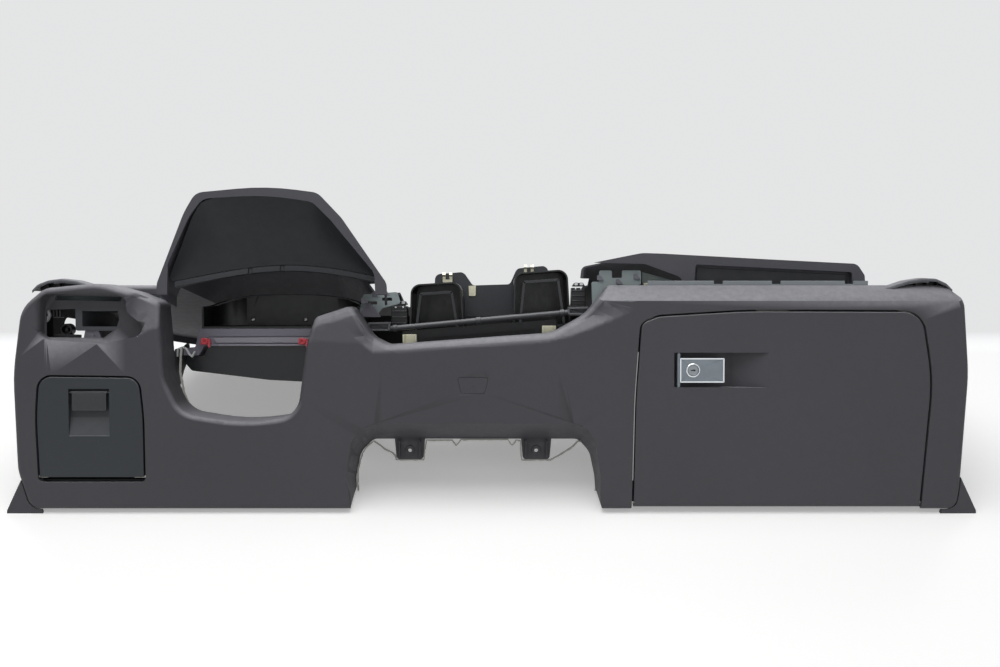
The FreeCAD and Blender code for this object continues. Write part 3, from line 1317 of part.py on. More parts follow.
# Storage tray: fixed bin behind the storage lid, with a rim against the back of the fascia.
tray = slab(STORE_EDGE, STORE_PLATE + 3, DEPTH + 50, GAP - SEAT)
rim = slab(STORE_EDGE, DEPTH + SEAT, DEPTH + SEAT + 3, GAP + 5)
tray = tray.fuse(rim).cut(
    slab(STORE_EDGE, STORE_PLATE - 5, DEPTH + 50 - TUB_WALL, GAP - SEAT - TUB_WALL)
)
node("storage_tray", tray)

# Corner brackets: three-cornered stays outside the lower corners, the feet of the part.
NEAR_STAY = cell("corner_near")
FAR_STAY = cell("corner_far")
BENCH_SLOPE = math.tan(LEAN)
BRACKET_REACH = cell("half_width") + 16
under = [(-50, -100, 0), (-50, -50 * BENCH_SLOPE, 0), (150, 150 * BENCH_SLOPE, 0), (150, -100, 0)]
below_bench = slab(under, -900, 900, 0, "X")
fascia_body = slab(FASCIA_EDGE, -5, DEPTH + 30, SEAT)
for label, side in (("corner_bracket_left", -1), ("corner_bracket_right", 1)):
    corners = [
        (side * (HALF - 40), -2, 0),
        (side * (HALF - 16), 74, 4),
        (side * BRACKET_REACH, 6, 4),
        (side * BRACKET_REACH, -2, 0),
    ]
    stay = slab(corners, NEAR_STAY, FAR_STAY).cut(fascia_body).cut(below_bench)
    node(label, max(stay.Solids, key=lambda part: part.Volume))

# End panels: side plates that join the fascia to the pad at each end.
for label, side in (("end_panel_left", -1), ("end_panel_right", 1)):
    top = [(depth, pad_height(depth) - PAD_WALL - SEAT) for depth in (94 + SEAT, 400)]
    profile = [
        (PAD_NEAR, 60, 0),
        (PAD_NEAR, BEAM_TOP - 2, 0),
        (BEAM_NEAR, BEAM_TOP - 2, 0),
        (top[0][0], top[0][1], 0),
        (top[1][0], top[1][1], 0),
        (400, 220, 0),
        (280, 186, 60),
        (150, 100, 60),
    ]
    window = [(100, 150, 16), (100, 300, 16), (230, 288, 16), (260, 216, 16)]
    near = side * 690 if side > 0 else -693
    side_plate = slab(profile, near, near + WALL, 0, "X").cut(slab(window, near - 5, near + 10, 0, "X"))
    lip = block(*sorted((side * 690, side * 716)), PAD_NEAR, PAD_NEAR + 3, 60, 318)
    side_panel = side_plate.fuse(lip)
    if side < 0:
        side_panel = side_panel.cut(slab(STORE_EDGE, DEPTH, DEPTH + 60, GAP + 5 + SEAT))
    node(label, max(side_panel.Solids, key=lambda part: part.Volume))

# Defroster grille: long slotted grille in the pad near the windscreen edge.
SLOPE_SIDE = [
    (GRILLE_NEAR - 8, pad_height(GRILLE_NEAR - 8) - PAD_WALL - 3 - SEAT, 0),
    (GRILLE_NEAR - 8, pad_height(GRILLE_NEAR - 8) - PAD_WALL - SEAT, 0),
    (GRILLE_FAR + 8, pad_height(GRILLE_FAR + 8) - PAD_WALL - SEAT, 0),
    (GRILLE_FAR + 8, pad_height(GRILLE_FAR + 8) - PAD_WALL - 3 - SEAT, 0),
]
raised = [
    (GRILLE_NEAR + SEAT, pad_height(GRILLE_NEAR) - PAD_WALL - 2, 0),
    (GRILLE_NEAR + SEAT, pad_height(GRILLE_NEAR) - 1, 0),
    (GRILLE_FAR - SEAT, pad_height(GRILLE_FAR) - 1, 0),
    (GRILLE_FAR - SEAT, pad_height(GRILLE_FAR) - PAD_WALL - 2, 0),
]
grille = slab(SLOPE_SIDE, -GRILLE_HALF - 8, GRILLE_HALF + 8, 0, "X")
grille = grille.fuse(slab(raised, -GRILLE_HALF + SEAT, GRILLE_HALF - SEAT, 0, "X"))
SLOT_COUNT = 24
SLOT_PITCH = (2 * GRILLE_HALF - 20) / SLOT_COUNT
slots = []
for index in range(SLOT_COUNT):
    left = -GRILLE_HALF + 10 + index * SLOT_PITCH
    slots.append(block(left + 3, left + SLOT_PITCH - 3, GRILLE_NEAR + 8, GRILLE_FAR - 8, 150, 350))
node("defroster_grille", grille.cut(Part.makeCompound(slots)))

# Defroster duct: shallow trough under the grille.
trough_side = [
    (GRILLE_NEAR - 4, pad_height(GRILLE_NEAR - 4) - PAD_WALL - 3 - 2 * SEAT, 0),
    (GRILLE_FAR + 4, pad_height(GRILLE_FAR + 4) - PAD_WALL - 3 - 2 * SEAT, 0),
    (GRILLE_FAR - 4, pad_height(GRILLE_FAR) - 30, 6),
    (GRILLE_NEAR - 4, pad_height(GRILLE_FAR) - 30, 6),
]
trough = slab(trough_side, -GRILLE_HALF, GRILLE_HALF, 0, "X")
trough = trough.cut(
    slab(trough_side, -GRILLE_HALF + 3, GRILLE_HALF - 3, -2.5, "X").fuse(
        block(
            -GRILLE_HALF + 3, GRILLE_HALF - 3, GRILLE_NEAR, GRILLE_FAR, pad_height(GRILLE_FAR) - 16, 300
        )
    )
)
node("defroster_duct", trough)

# Speed nuts: pressed nuts behind the two tabs under the console arch.
nuts = []
for side, middle in zip(("left", "right"), TAB_CENTRES):
    height = ARCH_BACK - cell("tab_drop") + 14
    corner = (middle - cell("nut_width") / 2, DEPTH, height - 10)
    nut = box_item(f"nut_{side}", corner, "Sizes.nut_width", "Sizes.nut_depth", "Sizes.nut_height")
    bore = rod_item(
        f"nut_bore_{side}", (
            middle, DEPTH - 1, height
        ), (0, 1, 0), "Sizes.tab_hole / 2", "Sizes.nut_depth + 2"
    )
    nuts.append(cut_item(f"speed_nut_{side}", nut, bore))
pair("speed_nuts", nuts)

# Tray screws: two heads on the back wall of the instrument tray.
SCREW_SEAT = 190.4
screws = [
    rod_item(
        f"screw_{number}",
        (x, SCREW_SEAT, TRAY_FLOOR + 12),
        (0, 1, 0),
        "Sizes.screw_head",
        "Sizes.screw_depth",
    )
    for number, x in enumerate((TRAY_LEFT + 60, TRAY_LEFT + 150), start=1)
]
pair("tray_screws", screws)

# Every object is checked before any file is written.
doc.recompute()
for item in doc.Objects:
    if "Invalid" in item.State or "Error" in item.State:
        raise RuntimeError(f"{item.Label} is not computed")
for item in pieces:
    if item.Shape.isNull() or not item.Shape.isValid() or not item.Shape.Solids:
        raise RuntimeError(f"{item.Label} has no valid solid")
for item in pieces:
    item.Shape.exportStep(f"parts/{item.Label}.step")
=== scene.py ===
import math
import random

import bmesh
import bpy
from mathutils import Matrix, Vector


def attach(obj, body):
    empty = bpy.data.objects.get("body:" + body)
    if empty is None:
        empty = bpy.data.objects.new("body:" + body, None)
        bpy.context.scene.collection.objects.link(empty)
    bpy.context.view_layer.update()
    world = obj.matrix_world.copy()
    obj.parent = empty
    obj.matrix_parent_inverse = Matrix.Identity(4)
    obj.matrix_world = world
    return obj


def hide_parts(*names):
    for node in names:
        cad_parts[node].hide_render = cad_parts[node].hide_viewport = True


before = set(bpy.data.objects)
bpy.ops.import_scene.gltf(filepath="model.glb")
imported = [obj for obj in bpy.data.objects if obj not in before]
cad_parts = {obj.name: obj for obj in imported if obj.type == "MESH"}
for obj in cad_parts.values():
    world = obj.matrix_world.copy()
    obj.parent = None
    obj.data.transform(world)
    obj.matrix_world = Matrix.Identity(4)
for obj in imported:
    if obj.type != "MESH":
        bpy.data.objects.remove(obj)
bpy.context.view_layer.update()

# Camera: the photograph was taken from about 1.3 m in front of the fascia, 22 degrees down.
# It looks square at the dashboard, a hand's width to the right of its middle.
FRONT_REACH = 0.3277
CAMERA_GAP = 1.309
camera_data = bpy.data.cameras.new("camera")
camera_data.lens = 36.0
camera_data.sensor_width = 36.0
camera = bpy.data.objects.new("camera", camera_data)
camera.location = (0.013, -CAMERA_GAP - FRONT_REACH, 0.827)
camera.rotation_euler = (math.radians(68.0), 0.0, 0.0)
bpy.context.scene.collection.objects.link(camera)
bpy.context.scene.camera = camera
bpy.context.scene.view_settings.view_transform = "Standard"

# Bench and wall: one wide pale floor, white where the dashboard lies and wall grey behind it.
# The change of colour is a line on the floor, so that no wall stands in the way of a view from behind.
BENCH_REACH = 60.0
BENCH_WHITE = (0.80, 0.80, 0.79, 1.0)
BENCH_GLOW = (0.90, 0.90, 0.895, 1.0)
WALL_GREY = (0.60, 0.61, 0.63, 1.0)
WALL_GLOW = (0.775, 0.780, 0.785, 1.0)
WALL_START, WALL_END = 0.30, 0.42
BENCH_SHARE = 0.36
bench_mesh = bpy.data.meshes.new("bench")
bench_mesh.from_pydata(
    [
        (-BENCH_REACH, -BENCH_REACH, 0),
        (BENCH_REACH, -BENCH_REACH, 0),
        (BENCH_REACH, BENCH_REACH, 0),
        (-BENCH_REACH, BENCH_REACH, 0),
    ],
    [],
    [(0, 1, 2, 3)],
)
bench = bpy.data.objects.new("bench", bench_mesh)
bpy.context.scene.collection.objects.link(bench)
bench_paint = bpy.data.materials.new("bench_paint")
bench_paint.use_nodes = True
nodes, links = bench_paint.node_tree.nodes, bench_paint.node_tree.links
bench_shader = nodes["Principled BSDF"]
bench_shader.inputs["Roughness"].default_value = 0.36
place = nodes.new("ShaderNodeTexCoord")
split = nodes.new("ShaderNodeSeparateXYZ")
wall_part = nodes.new("ShaderNodeMapRange")
wall_part.inputs["From Min"].default_value = WALL_START
wall_part.inputs["From Max"].default_value = WALL_END
links.new(place.outputs["Object"], split.inputs[0])
links.new(split.outputs["Y"], wall_part.inputs["Value"])
rays = nodes.new("ShaderNodeLightPath")
seen = nodes.new("ShaderNodeMath")
seen.operation = "MAXIMUM"
links.new(rays.outputs["Is Camera Ray"], seen.inputs[0])
links.new(rays.outputs["Is Glossy Ray"], seen.inputs[1])
seen_all = nodes.new("ShaderNodeMath")
seen_all.operation = "MAXIMUM"
links.new(seen.outputs[0], seen_all.inputs[0])
links.new(rays.outputs["Is Transmission Ray"], seen_all.inputs[1])
for socket, bench_tone, wall_tone in (
    ("Base Color", BENCH_WHITE, WALL_GREY),
    ("Emission Color", BENCH_GLOW, WALL_GLOW),
):
    tone = nodes.new("ShaderNodeMix")
    tone.data_type = "RGBA"
    tone.inputs["A"].default_value = bench_tone
    tone.inputs["B"].default_value = wall_tone
    links.new(wall_part.outputs[0], tone.inputs["Factor"])
    links.new(tone.outputs["Result"], bench_shader.inputs[socket])
glow = nodes.new("ShaderNodeMapRange")
glow.inputs["To Min"].default_value = BENCH_SHARE
links.new(wall_part.outputs[0], glow.inputs["Value"])
glow_seen = nodes.new("ShaderNodeMath")
glow_seen.operation = "MULTIPLY"
links.new(glow.outputs[0], glow_seen.inputs[0])
links.new(seen_all.outputs[0], glow_seen.inputs[1])
links.new(glow_seen.outputs[0], bench_shader.inputs["Emission Strength"])
wall_only = nodes.new("ShaderNodeEmission")
wall_only.inputs["Color"].default_value = WALL_GLOW
flat_wall = nodes.new("ShaderNodeMixShader")
wall_seen = nodes.new("ShaderNodeMath")
wall_seen.operation = "MULTIPLY"
links.new(wall_part.outputs[0], wall_seen.inputs[0])
links.new(seen_all.outputs[0], wall_seen.inputs[1])
links.new(wall_seen.outputs[0], flat_wall.inputs[0])
links.new(bench_shader.outputs[0], flat_wall.inputs[1])
links.new(wall_only.outputs[0], flat_wall.inputs[2])
links.new(flat_wall.outputs[0], nodes["Material Output"].inputs["Surface"])
bench_mesh.materials.append(bench_paint)

# Light: a broad soft ceiling lamp over the bench, two weak ones before and behind it, and an even
# pale room round them. Metal and the camera see the room brighter than the object is lit by it.
ROOM_LIGHT, ROOM_SEEN = 0.27, 0.85
LAMPS = [
    ("ceiling", (-0.3, -0.1, 2.5), (0.0, 0.05, 0.2), 2.6, 52.0),
    ("room_front", (0.9, -2.6, 1.3), (0.0, 0.0, 0.2), 2.0, 3.0),
    ("room_back", (-0.8, 2.4, 1.6), (0.0, 0.0, 0.3), 2.0, 7.0),
]
for lamp_name, lamp_place, lamp_target, lamp_size, lamp_power in LAMPS:
    lamp_data = bpy.data.lights.new(lamp_name, "AREA")
    lamp_data.shape = "DISK"
    lamp_data.size = lamp_size
    lamp_data.energy = lamp_power
    lamp = bpy.data.objects.new(lamp_name, lamp_data)
    lamp.location = lamp_place
    lamp_way = Vector(lamp_target) - Vector(lamp_place)
    lamp.rotation_euler = lamp_way.to_track_quat("-Z", "Y").to_euler()
    bpy.context.scene.collection.objects.link(lamp)
room = bpy.data.worlds.new("room")
room.use_nodes = True
room.node_tree.nodes["Background"].inputs["Color"].default_value = (0.93, 0.94, 0.96, 1.0)
room_nodes, room_links = room.node_tree.nodes, room.node_tree.links
rays = room_nodes.new("ShaderNodeLightPath")
mirrored = room_nodes.new("ShaderNodeMath")
mirrored.operation = "MAXIMUM"
room_links.new(rays.outputs["Is Camera Ray"], mirrored.inputs[0])
room_links.new(rays.outputs["Is Glossy Ray"], mirrored.inputs[1])
room_level = room_nodes.new("ShaderNodeMapRange")
room_level.inputs["To Min"].default_value = ROOM_LIGHT
room_level.inputs["To Max"].default_value = ROOM_SEEN
room_links.new(mirrored.outputs[0], room_level.inputs["Value"])
room_links.new(room_level.outputs[0], room_nodes["Background"].inputs["Strength"])
bpy.context.scene.world = room

# Front fascia: one injection moulding in dark warm grey with a fine pressed grain.
# It carries everything else; the blanking cap is the same plastic, pressed into its recess.


def new_group(name, inputs, outputs):
    """Empty shader group with sockets given as (name, socket kind, default)."""
    group = bpy.data.node_groups.new(name, "ShaderNodeTree")
    for socket, kind, default in inputs:
        made = group.interface.new_socket(name=socket, in_out="INPUT", socket_type=kind)
        made.default_value = default
    for socket, kind in outputs:
        group.interface.new_socket(name=socket, in_out="OUTPUT", socket_type=kind)
    return group, group.nodes.new("NodeGroupInput"), group.nodes.new("NodeGroupOutput")


def moulded_surface():
    """Pressed plastic grain, slow cloudy tone, pale dust and painted light from above on what faces up, and
    faint rubbed marks.
    """
    group, given, out = new_group(
        "moulded_surface",
        [
            ("Colour", "NodeSocketColor", (0.1, 0.1, 0.1, 1.0)),
            ("Grain", "NodeSocketFloat", 900.0),
            ("Dust and top light", "NodeSocketFloat", 0.2),
            ("Roughness", "NodeSocketFloat", 0.6),
        ],
        [("Colour", "NodeSocketColor"), ("Roughness", "NodeSocketFloat"), ("Height", "NodeSocketFloat")],
    )
    nodes, links = group.nodes, group.links
    place = nodes.new("ShaderNodeTexCoord")
    cells = nodes.new("ShaderNodeTexVoronoi")
    cells.feature = "SMOOTH_F1"
    cells.inputs["Smoothness"].default_value = 0.6
    fine = nodes.new("ShaderNodeTexNoise")
    fine.inputs["Detail"].default_value = 3.0
    cloud = nodes.new("ShaderNodeTexNoise")
    cloud.inputs["Scale"].default_value = 3.1
    cloud.inputs["Detail"].default_value = 4.0
    marks = nodes.new("ShaderNodeTexNoise")
    marks.inputs["Scale"].default_value = 90.0
    marks.inputs["Detail"].default_value = 8.0
    marks.inputs["Roughness"].default_value = 0.7
    marks.inputs["Distortion"].default_value = 0.15
    for texture in (cells, fine, cloud, marks):
        links.new(place.outputs["Object"], texture.inputs["Vector"])
    links.new(given.outputs["Grain"], cells.inputs["Scale"])
    links.new(given.outputs["Grain"], fine.inputs["Scale"])
    height = nodes.new("ShaderNodeMath")
    height.operation = "MULTIPLY_ADD"
    height.inputs[1].default_value = 0.5
    links.new(fine.outputs["Fac"], height.inputs[0])
    links.new(cells.outputs["Distance"], height.inputs[2])
    links.new(height.outputs[0], out.inputs["Height"])
    # cloudy tone
    tone = nodes.new("ShaderNodeMapRange")
    tone.inputs["From Min"].default_value = 0.3
    tone.inputs["From Max"].default_value = 0.7
    tone.inputs["To Min"].default_value = 0.93
    tone.inputs["To Max"].default_value = 1.07
    links.new(cloud.outputs["Fac"], tone.inputs["Value"])
    toned = nodes.new("ShaderNodeVectorMath")
    toned.operation = "SCALE"
    links.new(given.outputs["Colour"], toned.inputs[0])
    links.new(tone.outputs[0], toned.inputs["Scale"])
    # pale dust mixed with painted light from above, stronger where the surface faces up
    facing = nodes.new("ShaderNodeSeparateXYZ")
    links.new(place.outputs["Normal"], facing.inputs[0])
    upward = nodes.new("ShaderNodeMapRange")
    upward.inputs["From Min"].default_value = 0.37
    upward.inputs["From Max"].default_value = 0.95
    links.new(facing.outputs["Z"], upward.inputs["Value"])
    speckle = nodes.new("ShaderNodeMapRange")
    speckle.inputs["From Min"].default_value = 0.38
    speckle.inputs["From Max"].default_value = 0.66
    speckle.inputs["To Min"].default_value = 0.72
    links.new(marks.outputs["Fac"], speckle.inputs["Value"])
    dust_and_top_light = nodes.new("ShaderNodeMath")
    dust_and_top_light.operation = "MULTIPLY"
    links.new(upward.outputs[0], dust_and_top_light.inputs[0])
    links.new(speckle.outputs[0], dust_and_top_light.inputs[1])
    amount = nodes.new("ShaderNodeMath")
    amount.operation = "MULTIPLY"
    links.new(dust_and_top_light.outputs[0], amount.inputs[0])
    links.new(given.outputs["Dust and top light"], amount.inputs[1])
    # the pale grey stands partly for dust and partly for painted light on the faces that look up
    dust_and_top_light_mix = nodes.new("ShaderNodeMix")
    dust_and_top_light_mix.data_type = "RGBA"
    dust_and_top_light_mix.inputs["B"].default_value = (0.36, 0.36, 0.385, 1.0)
    links.new(amount.outputs[0], dust_and_top_light_mix.inputs["Factor"])
    links.new(toned.outputs[0], dust_and_top_light_mix.inputs["A"])
    links.new(dust_and_top_light_mix.outputs["Result"], out.inputs["Colour"])
    # rubbed marks are a little smoother than the grain
    rubbed = nodes.new("ShaderNodeMapRange")
    rubbed.inputs["From Min"].default_value = 0.3
    rubbed.inputs["From Max"].default_value = 0.7
    rubbed.inputs["To Min"].default_value = -0.08
    rubbed.inputs["To Max"].default_value = 0.08
    links.new(marks.outputs["Fac"], rubbed.inputs["Value"])
    rough = nodes.new("ShaderNodeMath")
    rough.use_clamp = True
    links.new(rubbed.outputs[0], rough.inputs[0])
    links.new(given.outputs["Roughness"], rough.inputs[1])
    links.new(rough.outputs[0], out.inputs["Roughness"])
    return group


MOULDED = moulded_surface()


def srgb(code):
    """Linear colour of a hexadecimal screen colour."""
    parts = [int(code[index:index + 2], 16) / 255 for index in (1, 3, 5)]
    return tuple(p / 12.92 if p <= 0.04045 else ((p + 0.055) / 1.055) ** 2.4 for p in parts) + (1.0,)


def moulded(name, colour, roughness=0.6, grain=900.0, depth=0.00006, dust_and_top_light=0.2, coat=0.0):
    """Material of a moulded plastic piece."""
    material = bpy.data.materials.new(name)
    material.use_nodes = True
    nodes, links = material.node_tree.nodes, material.node_tree.links
    shader = nodes["Principled BSDF"]
    surface = nodes.new("ShaderNodeGroup")
    surface.node_tree = MOULDED
    surface.inputs["Colour"].default_value = srgb(colour)
    surface.inputs["Grain"].default_value = grain
    # the dust weight also sets how much painted light from above the upward faces get
    surface.inputs["Dust and top light"].default_value = dust_and_top_light
    surface.inputs["Roughness"].default_value = roughness
    bump = nodes.new("ShaderNodeBump")
    bump.inputs["Distance"].default_value = depth
    bump.inputs["Strength"].default_value = 1.0
    shader.inputs["Specular IOR Level"].default_value = 0.42
    shader.inputs["Coat Weight"].default_value = coat
    shader.inputs["Coat Roughness"].default_value = 0.12
    links.new(surface.outputs["Colour"], shader.inputs["Base Color"])
    links.new(surface.outputs["Roughness"], shader.inputs["Roughness"])
    links.new(surface.outputs["Height"], bump.inputs["Height"])
    links.new(bump.outputs["Normal"], shader.inputs["Normal"])
    return material


def clothe(material, *names):
    """Gives CAD nodes their material."""
    for name in names:
        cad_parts[name].material_slots[0].material = material


def soften(width, *names):
    """Rounds the crisp edges of CAD nodes by a width in millimetres."""
    for name in names:
        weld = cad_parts[name].modifiers.new("weld", "WELD")
        weld.merge_threshold = 0.00001
        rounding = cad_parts[name].modifiers.new("rounding", "BEVEL")
        rounding.width = width / 1000
        rounding.segments = 2
        rounding.limit_method = "ANGLE"
        rounding.angle_limit = math.radians(40)
        rounding.harden_normals = True


TO_ROOM = Matrix.Translation((0.0, -FRONT_REACH, 0.0))
TO_ROOM = TO_ROOM @ Matrix.Rotation(math.radians(-20.0), 4, "X") @ Matrix.Scale(0.001, 4)
ROOT = "dashboard_frame"


def dress(piece, material, body, instead):
    """Gives a finished piece its material and the body it rides on."""
    piece.data.materials.append(material)
    bpy.context.scene.collection.objects.link(piece)
    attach(piece, body)
    if instead:
        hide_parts(*instead)
    return piece


def set_piece(name, mesh, material, body=ROOT, instead=(), rounding=0.0, crease=35.0):
    """Sets a mesh that is drawn in millimetres on the leaning face in its place."""
    bmesh.ops.recalc_face_normals(mesh, faces=mesh.faces)
    mesh.transform(TO_ROOM)
    data = bpy.data.meshes.new(name)
    mesh.to_mesh(data)
    mesh.free()
    data.polygons.foreach_set("use_smooth", [True] * len(data.polygons))
    data.set_sharp_from_angle(angle=math.radians(crease))
    piece = bpy.data.objects.new(name, data)
    if rounding:
        edge_round = piece.modifiers.new("rounding", "BEVEL")
        edge_round.width = rounding / 1000
        edge_round.segments = 2
        edge_round.limit_method = "ANGLE"
        edge_round.angle_limit = math.radians(crease)
        edge_round.harden_normals = True
    evened = piece.modifiers.new("evened", "WEIGHTED_NORMAL")
    evened.keep_sharp = True
    evened.weight = 90
    return dress(piece, material, body, instead)


# lines where the face of the moulding turns back: under the centre opening, on the horn
# between the two openings, and on the flank beside the steering column
RIM_CREASE = [(-292, 262.5), (-198, 258), (-181, 246), (-138, 246.5), (87, 262), (123, 271), (226, 310)]
HORN_CREASE = [(-292, 277.5), (-205, 303)]
FLANK_CREASE = [(-552, 262), (-520, 278), (-490, 287)]


def height_over(line, x, z):
    """Height of a point above a crease, or nothing beside it."""
    for (x0, z0), (x1, z1) in zip(line, line[1:]):
        if x0 <= x <= x1:
            return z - z0 - (z1 - z0) * (x - x0) / (x1 - x0)
    return 0.0


def turned_back(height, slope, softness=6.0, most=60.0):
    """Depth behind the face of a surface that turns back softly at a crease."""
    height = max(0.0, min(height, most))
    if height < softness:
        return slope * height * height / (2 * softness)
    return slope * (height - softness / 2)


def fade(value, start, end):
    """Share of the way from a start to an end."""
    return max(0.0, min(1.0, (value - start) / (end - start)))


def setback(x, z):
    """Depth of the face behind its flat middle."""
    rim_slope = 0.10 + 0.42 * fade(x, -200, -180) * (1 - fade(x, 160, 226))
    rim_most = 50.0 if x < -200 else 20.0
    back = turned_back(height_over(RIM_CREASE, x, z), rim_slope, 6.0, rim_most) * (1 - fade(x, 160, 226))
    back += turned_back(height_over(HORN_CREASE, x, z), 0.42, 5.0)
    return back + turned_back(height_over(FLANK_CREASE, x, z), 0.30) * fade(x, -551, -530)


fascia = bmesh.new()
fascia.from_mesh(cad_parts["front_fascia"].data)
fascia.transform(TO_ROOM.inverted())
bmesh.ops.remove_doubles(fascia, verts=fascia.verts, dist=0.01)
MIDDLE_FIELD = (-292, 226, 240, 352)
FLANK_FIELD = (-552, -490, 255, 352)
FLANGE_DEPTH = 60.0


def slice_field(field, point, normal):
    """Adds edges across one part of the face."""
    left, right, low, high = field
    faces = []
    for face in fascia.faces:
        across = [vert.co.x for vert in face.verts]
        up = [vert.co.z for vert in face.verts]
        if max(across) > left and min(across) < right and max(up) > low and min(up) < high:
            faces.append(face)
    touched = faces + list({edge for face in faces for edge in face.edges})
    touched += list({vert for face in faces for vert in face.verts})
    bmesh.ops.bisect_plane(fascia, geom=touched, plane_co=point, plane_no=normal, dist=0.01)


for field in (MIDDLE_FIELD, FLANK_FIELD):
    for x in range(field[0], field[1] + 1, 14):
        slice_field(field, (x, 0, 0), (1, 0, 0))
    for z in range(field[2] + 4, field[3], 12):
        slice_field(field, (0, 0, z), (0, 0, 1))
for line in (RIM_CREASE, HORN_CREASE, FLANK_CREASE):
    for (x0, z0), (x1, z1) in zip(line, line[1:]):
        for rise in (0, 3, 6):
            slice_field((x0, x1, z0 - 4, z1 + 60), (x0, 0, z0 + rise), (z0 - z1, 0, x1 - x0))
for vert in fascia.verts:
    if vert.co.y < FLANGE_DEPTH:
        vert.co.y += setback(vert.co.x, vert.co.z) * (1 - max(0.0, vert.co.y) / FLANGE_DEPTH)
# Its upward faces get the pale mix at 0.7: partly dust, partly painted light from above.
fascia_plastic = moulded("fascia_plastic", "#454449", 0.55, 820.0, 0.00007, 0.7)
set_piece("fascia_moulding", fascia, fascia_plastic, instead=["front_fascia"], crease=28.0)
clothe(fascia_plastic, "front_fascia", "glovebox_lid", "blanking_cap")
clothe(fascia_plastic, "corner_bracket_left", "corner_bracket_right")

# Sawn edge: the moulding was trimmed by hand along the console arch and beside the steering column.
# The cut left a rough pale lip on the moulding's flange.
ARCH_LIP = [
    (-212, 26), (-213, 40), (-212, 62), (-205, 86), (-196, 99), (-186, 106), (-178, 101), (-168, 93),
    (-156, 87), (-151, 82), (-150, 76), (-108, 76), (-107, 90), (-104, 107), (-62, 107), (-56, 99),
    (-49, 108), (26, 108), (32, 99), (38, 107), (46, 106), (48, 76), (92, 76), (104, 82), (126, 96),
    (136, 106), (146, 104), (156, 90), (163, 62), (166, 40), (165, 26),
]
COLUMN_LIP = [(-490, 252), (-492, 214), (-486, 180), (-474, 152)]
LIP_WIDTH, COLUMN_LIP_WIDTH = 2.2, 3.0
ROUGHNESS = 0.5


def ribbon(mesh, outer, inner, near, far, closed=False):
    """Adds a band between two lines with as many points."""
    rings = []
    for (x0, z0), (x1, z1) in zip(outer, inner):
        corners = ((x0, near, z0), (x1, near, z1), (x1, far, z1), (x0, far, z0))
        rings.append([mesh.verts.new(corner) for corner in corners])
    count = len(rings)
    for index in range(count if closed else count - 1):
        here, there = rings[index], rings[(index + 1) % count]
        for side in range(4):
            mesh.faces.new((here[side], there[side], there[side - 3], here[side - 3]))
    if not closed:
        mesh.faces.new(rings[0])
        mesh.faces.new(rings[-1][::-1])


def shifted(line, gap):
    """Line beside another, at a gap to its right-hand side."""
    moved = []
    for index, point in enumerate(line):
        before = Vector(line[max(0, index - 1)])
        after = Vector(line[min(len(line) - 1, index + 1)])
        way = (after - before).normalized()
        moved.append((point[0] + way.y * gap, point[1] - way.x * gap))
    return moved


def finely(line, step):
    """Points along a line at about an even step."""
    points = []
    for start, end in zip(line, line[1:]):
        span = Vector(end) - Vector(start)
        count = max(1, round(span.length / step))
        points += [tuple(Vector(start) + span * (index / count)) for index in range(count)]
    return points + [line[-1]]


def rough():
    """One random step of the saw."""
    return random.uniform(-ROUGHNESS, ROUGHNESS)


random.seed(5)
lip = bmesh.new()
lip_line = finely(ARCH_LIP, 4.0)
sawn = [(x + rough(), z + rough()) for x, z in shifted(lip_line, LIP_WIDTH)]
ribbon(lip, lip_line, sawn, FLANGE_DEPTH - 3.0, FLANGE_DEPTH)
column_lip = finely(COLUMN_LIP, 4.0)
sawn = [(x + rough(), z) for x, z in shifted(column_lip, -COLUMN_LIP_WIDTH)]
ribbon(lip, column_lip, sawn, FLANGE_DEPTH - 2.5, FLANGE_DEPTH)
set_piece("sawn_edge", lip, moulded("sawn_plastic", "#B9BAB2", 0.8, 1500.0, 0.0001, 0.1))

# Top pad: soft foamed skin over a carrier, with the instrument hood and the brow in one piece.
# Its grain is coarser and its face more matt than the fascia's.
# The pad's upward faces get the full pale mix: partly dust, partly painted light from above on the brow and
# the top of the hood.
pad_skin = moulded("pad_skin", "#4C4C52", 0.6, 640.0, 0.00010, 1.0)
clothe(pad_skin, "top_pad")

# Brow backing: a thin panel that closes the long recess under the brow; its dark colour is painted shade
# deep in the recess.
# It is glued to the inner face of the pad.
BROW_RECESS = [(319, 331, 3), (321.5, 381.5, 4), (564, 370, 4), (566, 331, 3)]


def plate(mesh, outline, near, far):
    """Adds a plate with an outline of (across, up) points between two depths."""
    front = [mesh.verts.new((x, near, z)) for x, z in outline]
    back = [mesh.verts.new((x, far, z)) for x, z in outline]
    mesh.faces.new(front)
    mesh.faces.new(back[::-1])
    for index, vert in enumerate(front):
        mesh.faces.new((vert, front[index - 1], back[index - 1], back[index]))


def rounded(corners, steps=5):
    """Outline points from corners of (across, up, radius)."""
    points = []
    for index, (x, z, radius) in enumerate(corners):
        if radius == 0:
            points.append((x, z))
            continue
        here = Vector((x, 0, z))
        before = Vector((corners[index - 1][0], 0, corners[index - 1][1])) - here
        following = corners[(index + 1) % len(corners)]
        after = Vector((following[0], 0, following[1])) - here
        half = before.angle(after) / 2
        middle = here + (before.normalized() + after.normalized()).normalized() * (radius / math.sin(half))
        start = here + before.normalized() * (radius / math.tan(half)) - middle
        end = here + after.normalized() * (radius / math.tan(half)) - middle
        for step in range(steps + 1):
            reach = middle + start.slerp(end, step / steps)
            points.append((reach.x, reach.z))
    return points


def window(across, up, radius, steps=5):
    """Outline of an upright rectangle with rounded corners."""
    (left, right), (low, high) = across, up
    corners = [(left, low), (left, high), (right, high), (right, low)]
    return rounded([(x, z, radius) for x, z in corners], steps)


brow = bmesh.new()
plate(brow, rounded(BROW_RECESS), 70.4, 72.0)
backing_painted_shade = moulded("backing_painted_shade", "#26272B", 0.5, 900.0, 0.00005, 0.1)
set_piece("brow_backing_painted_shade", brow, backing_painted_shade, rounding=0.4)
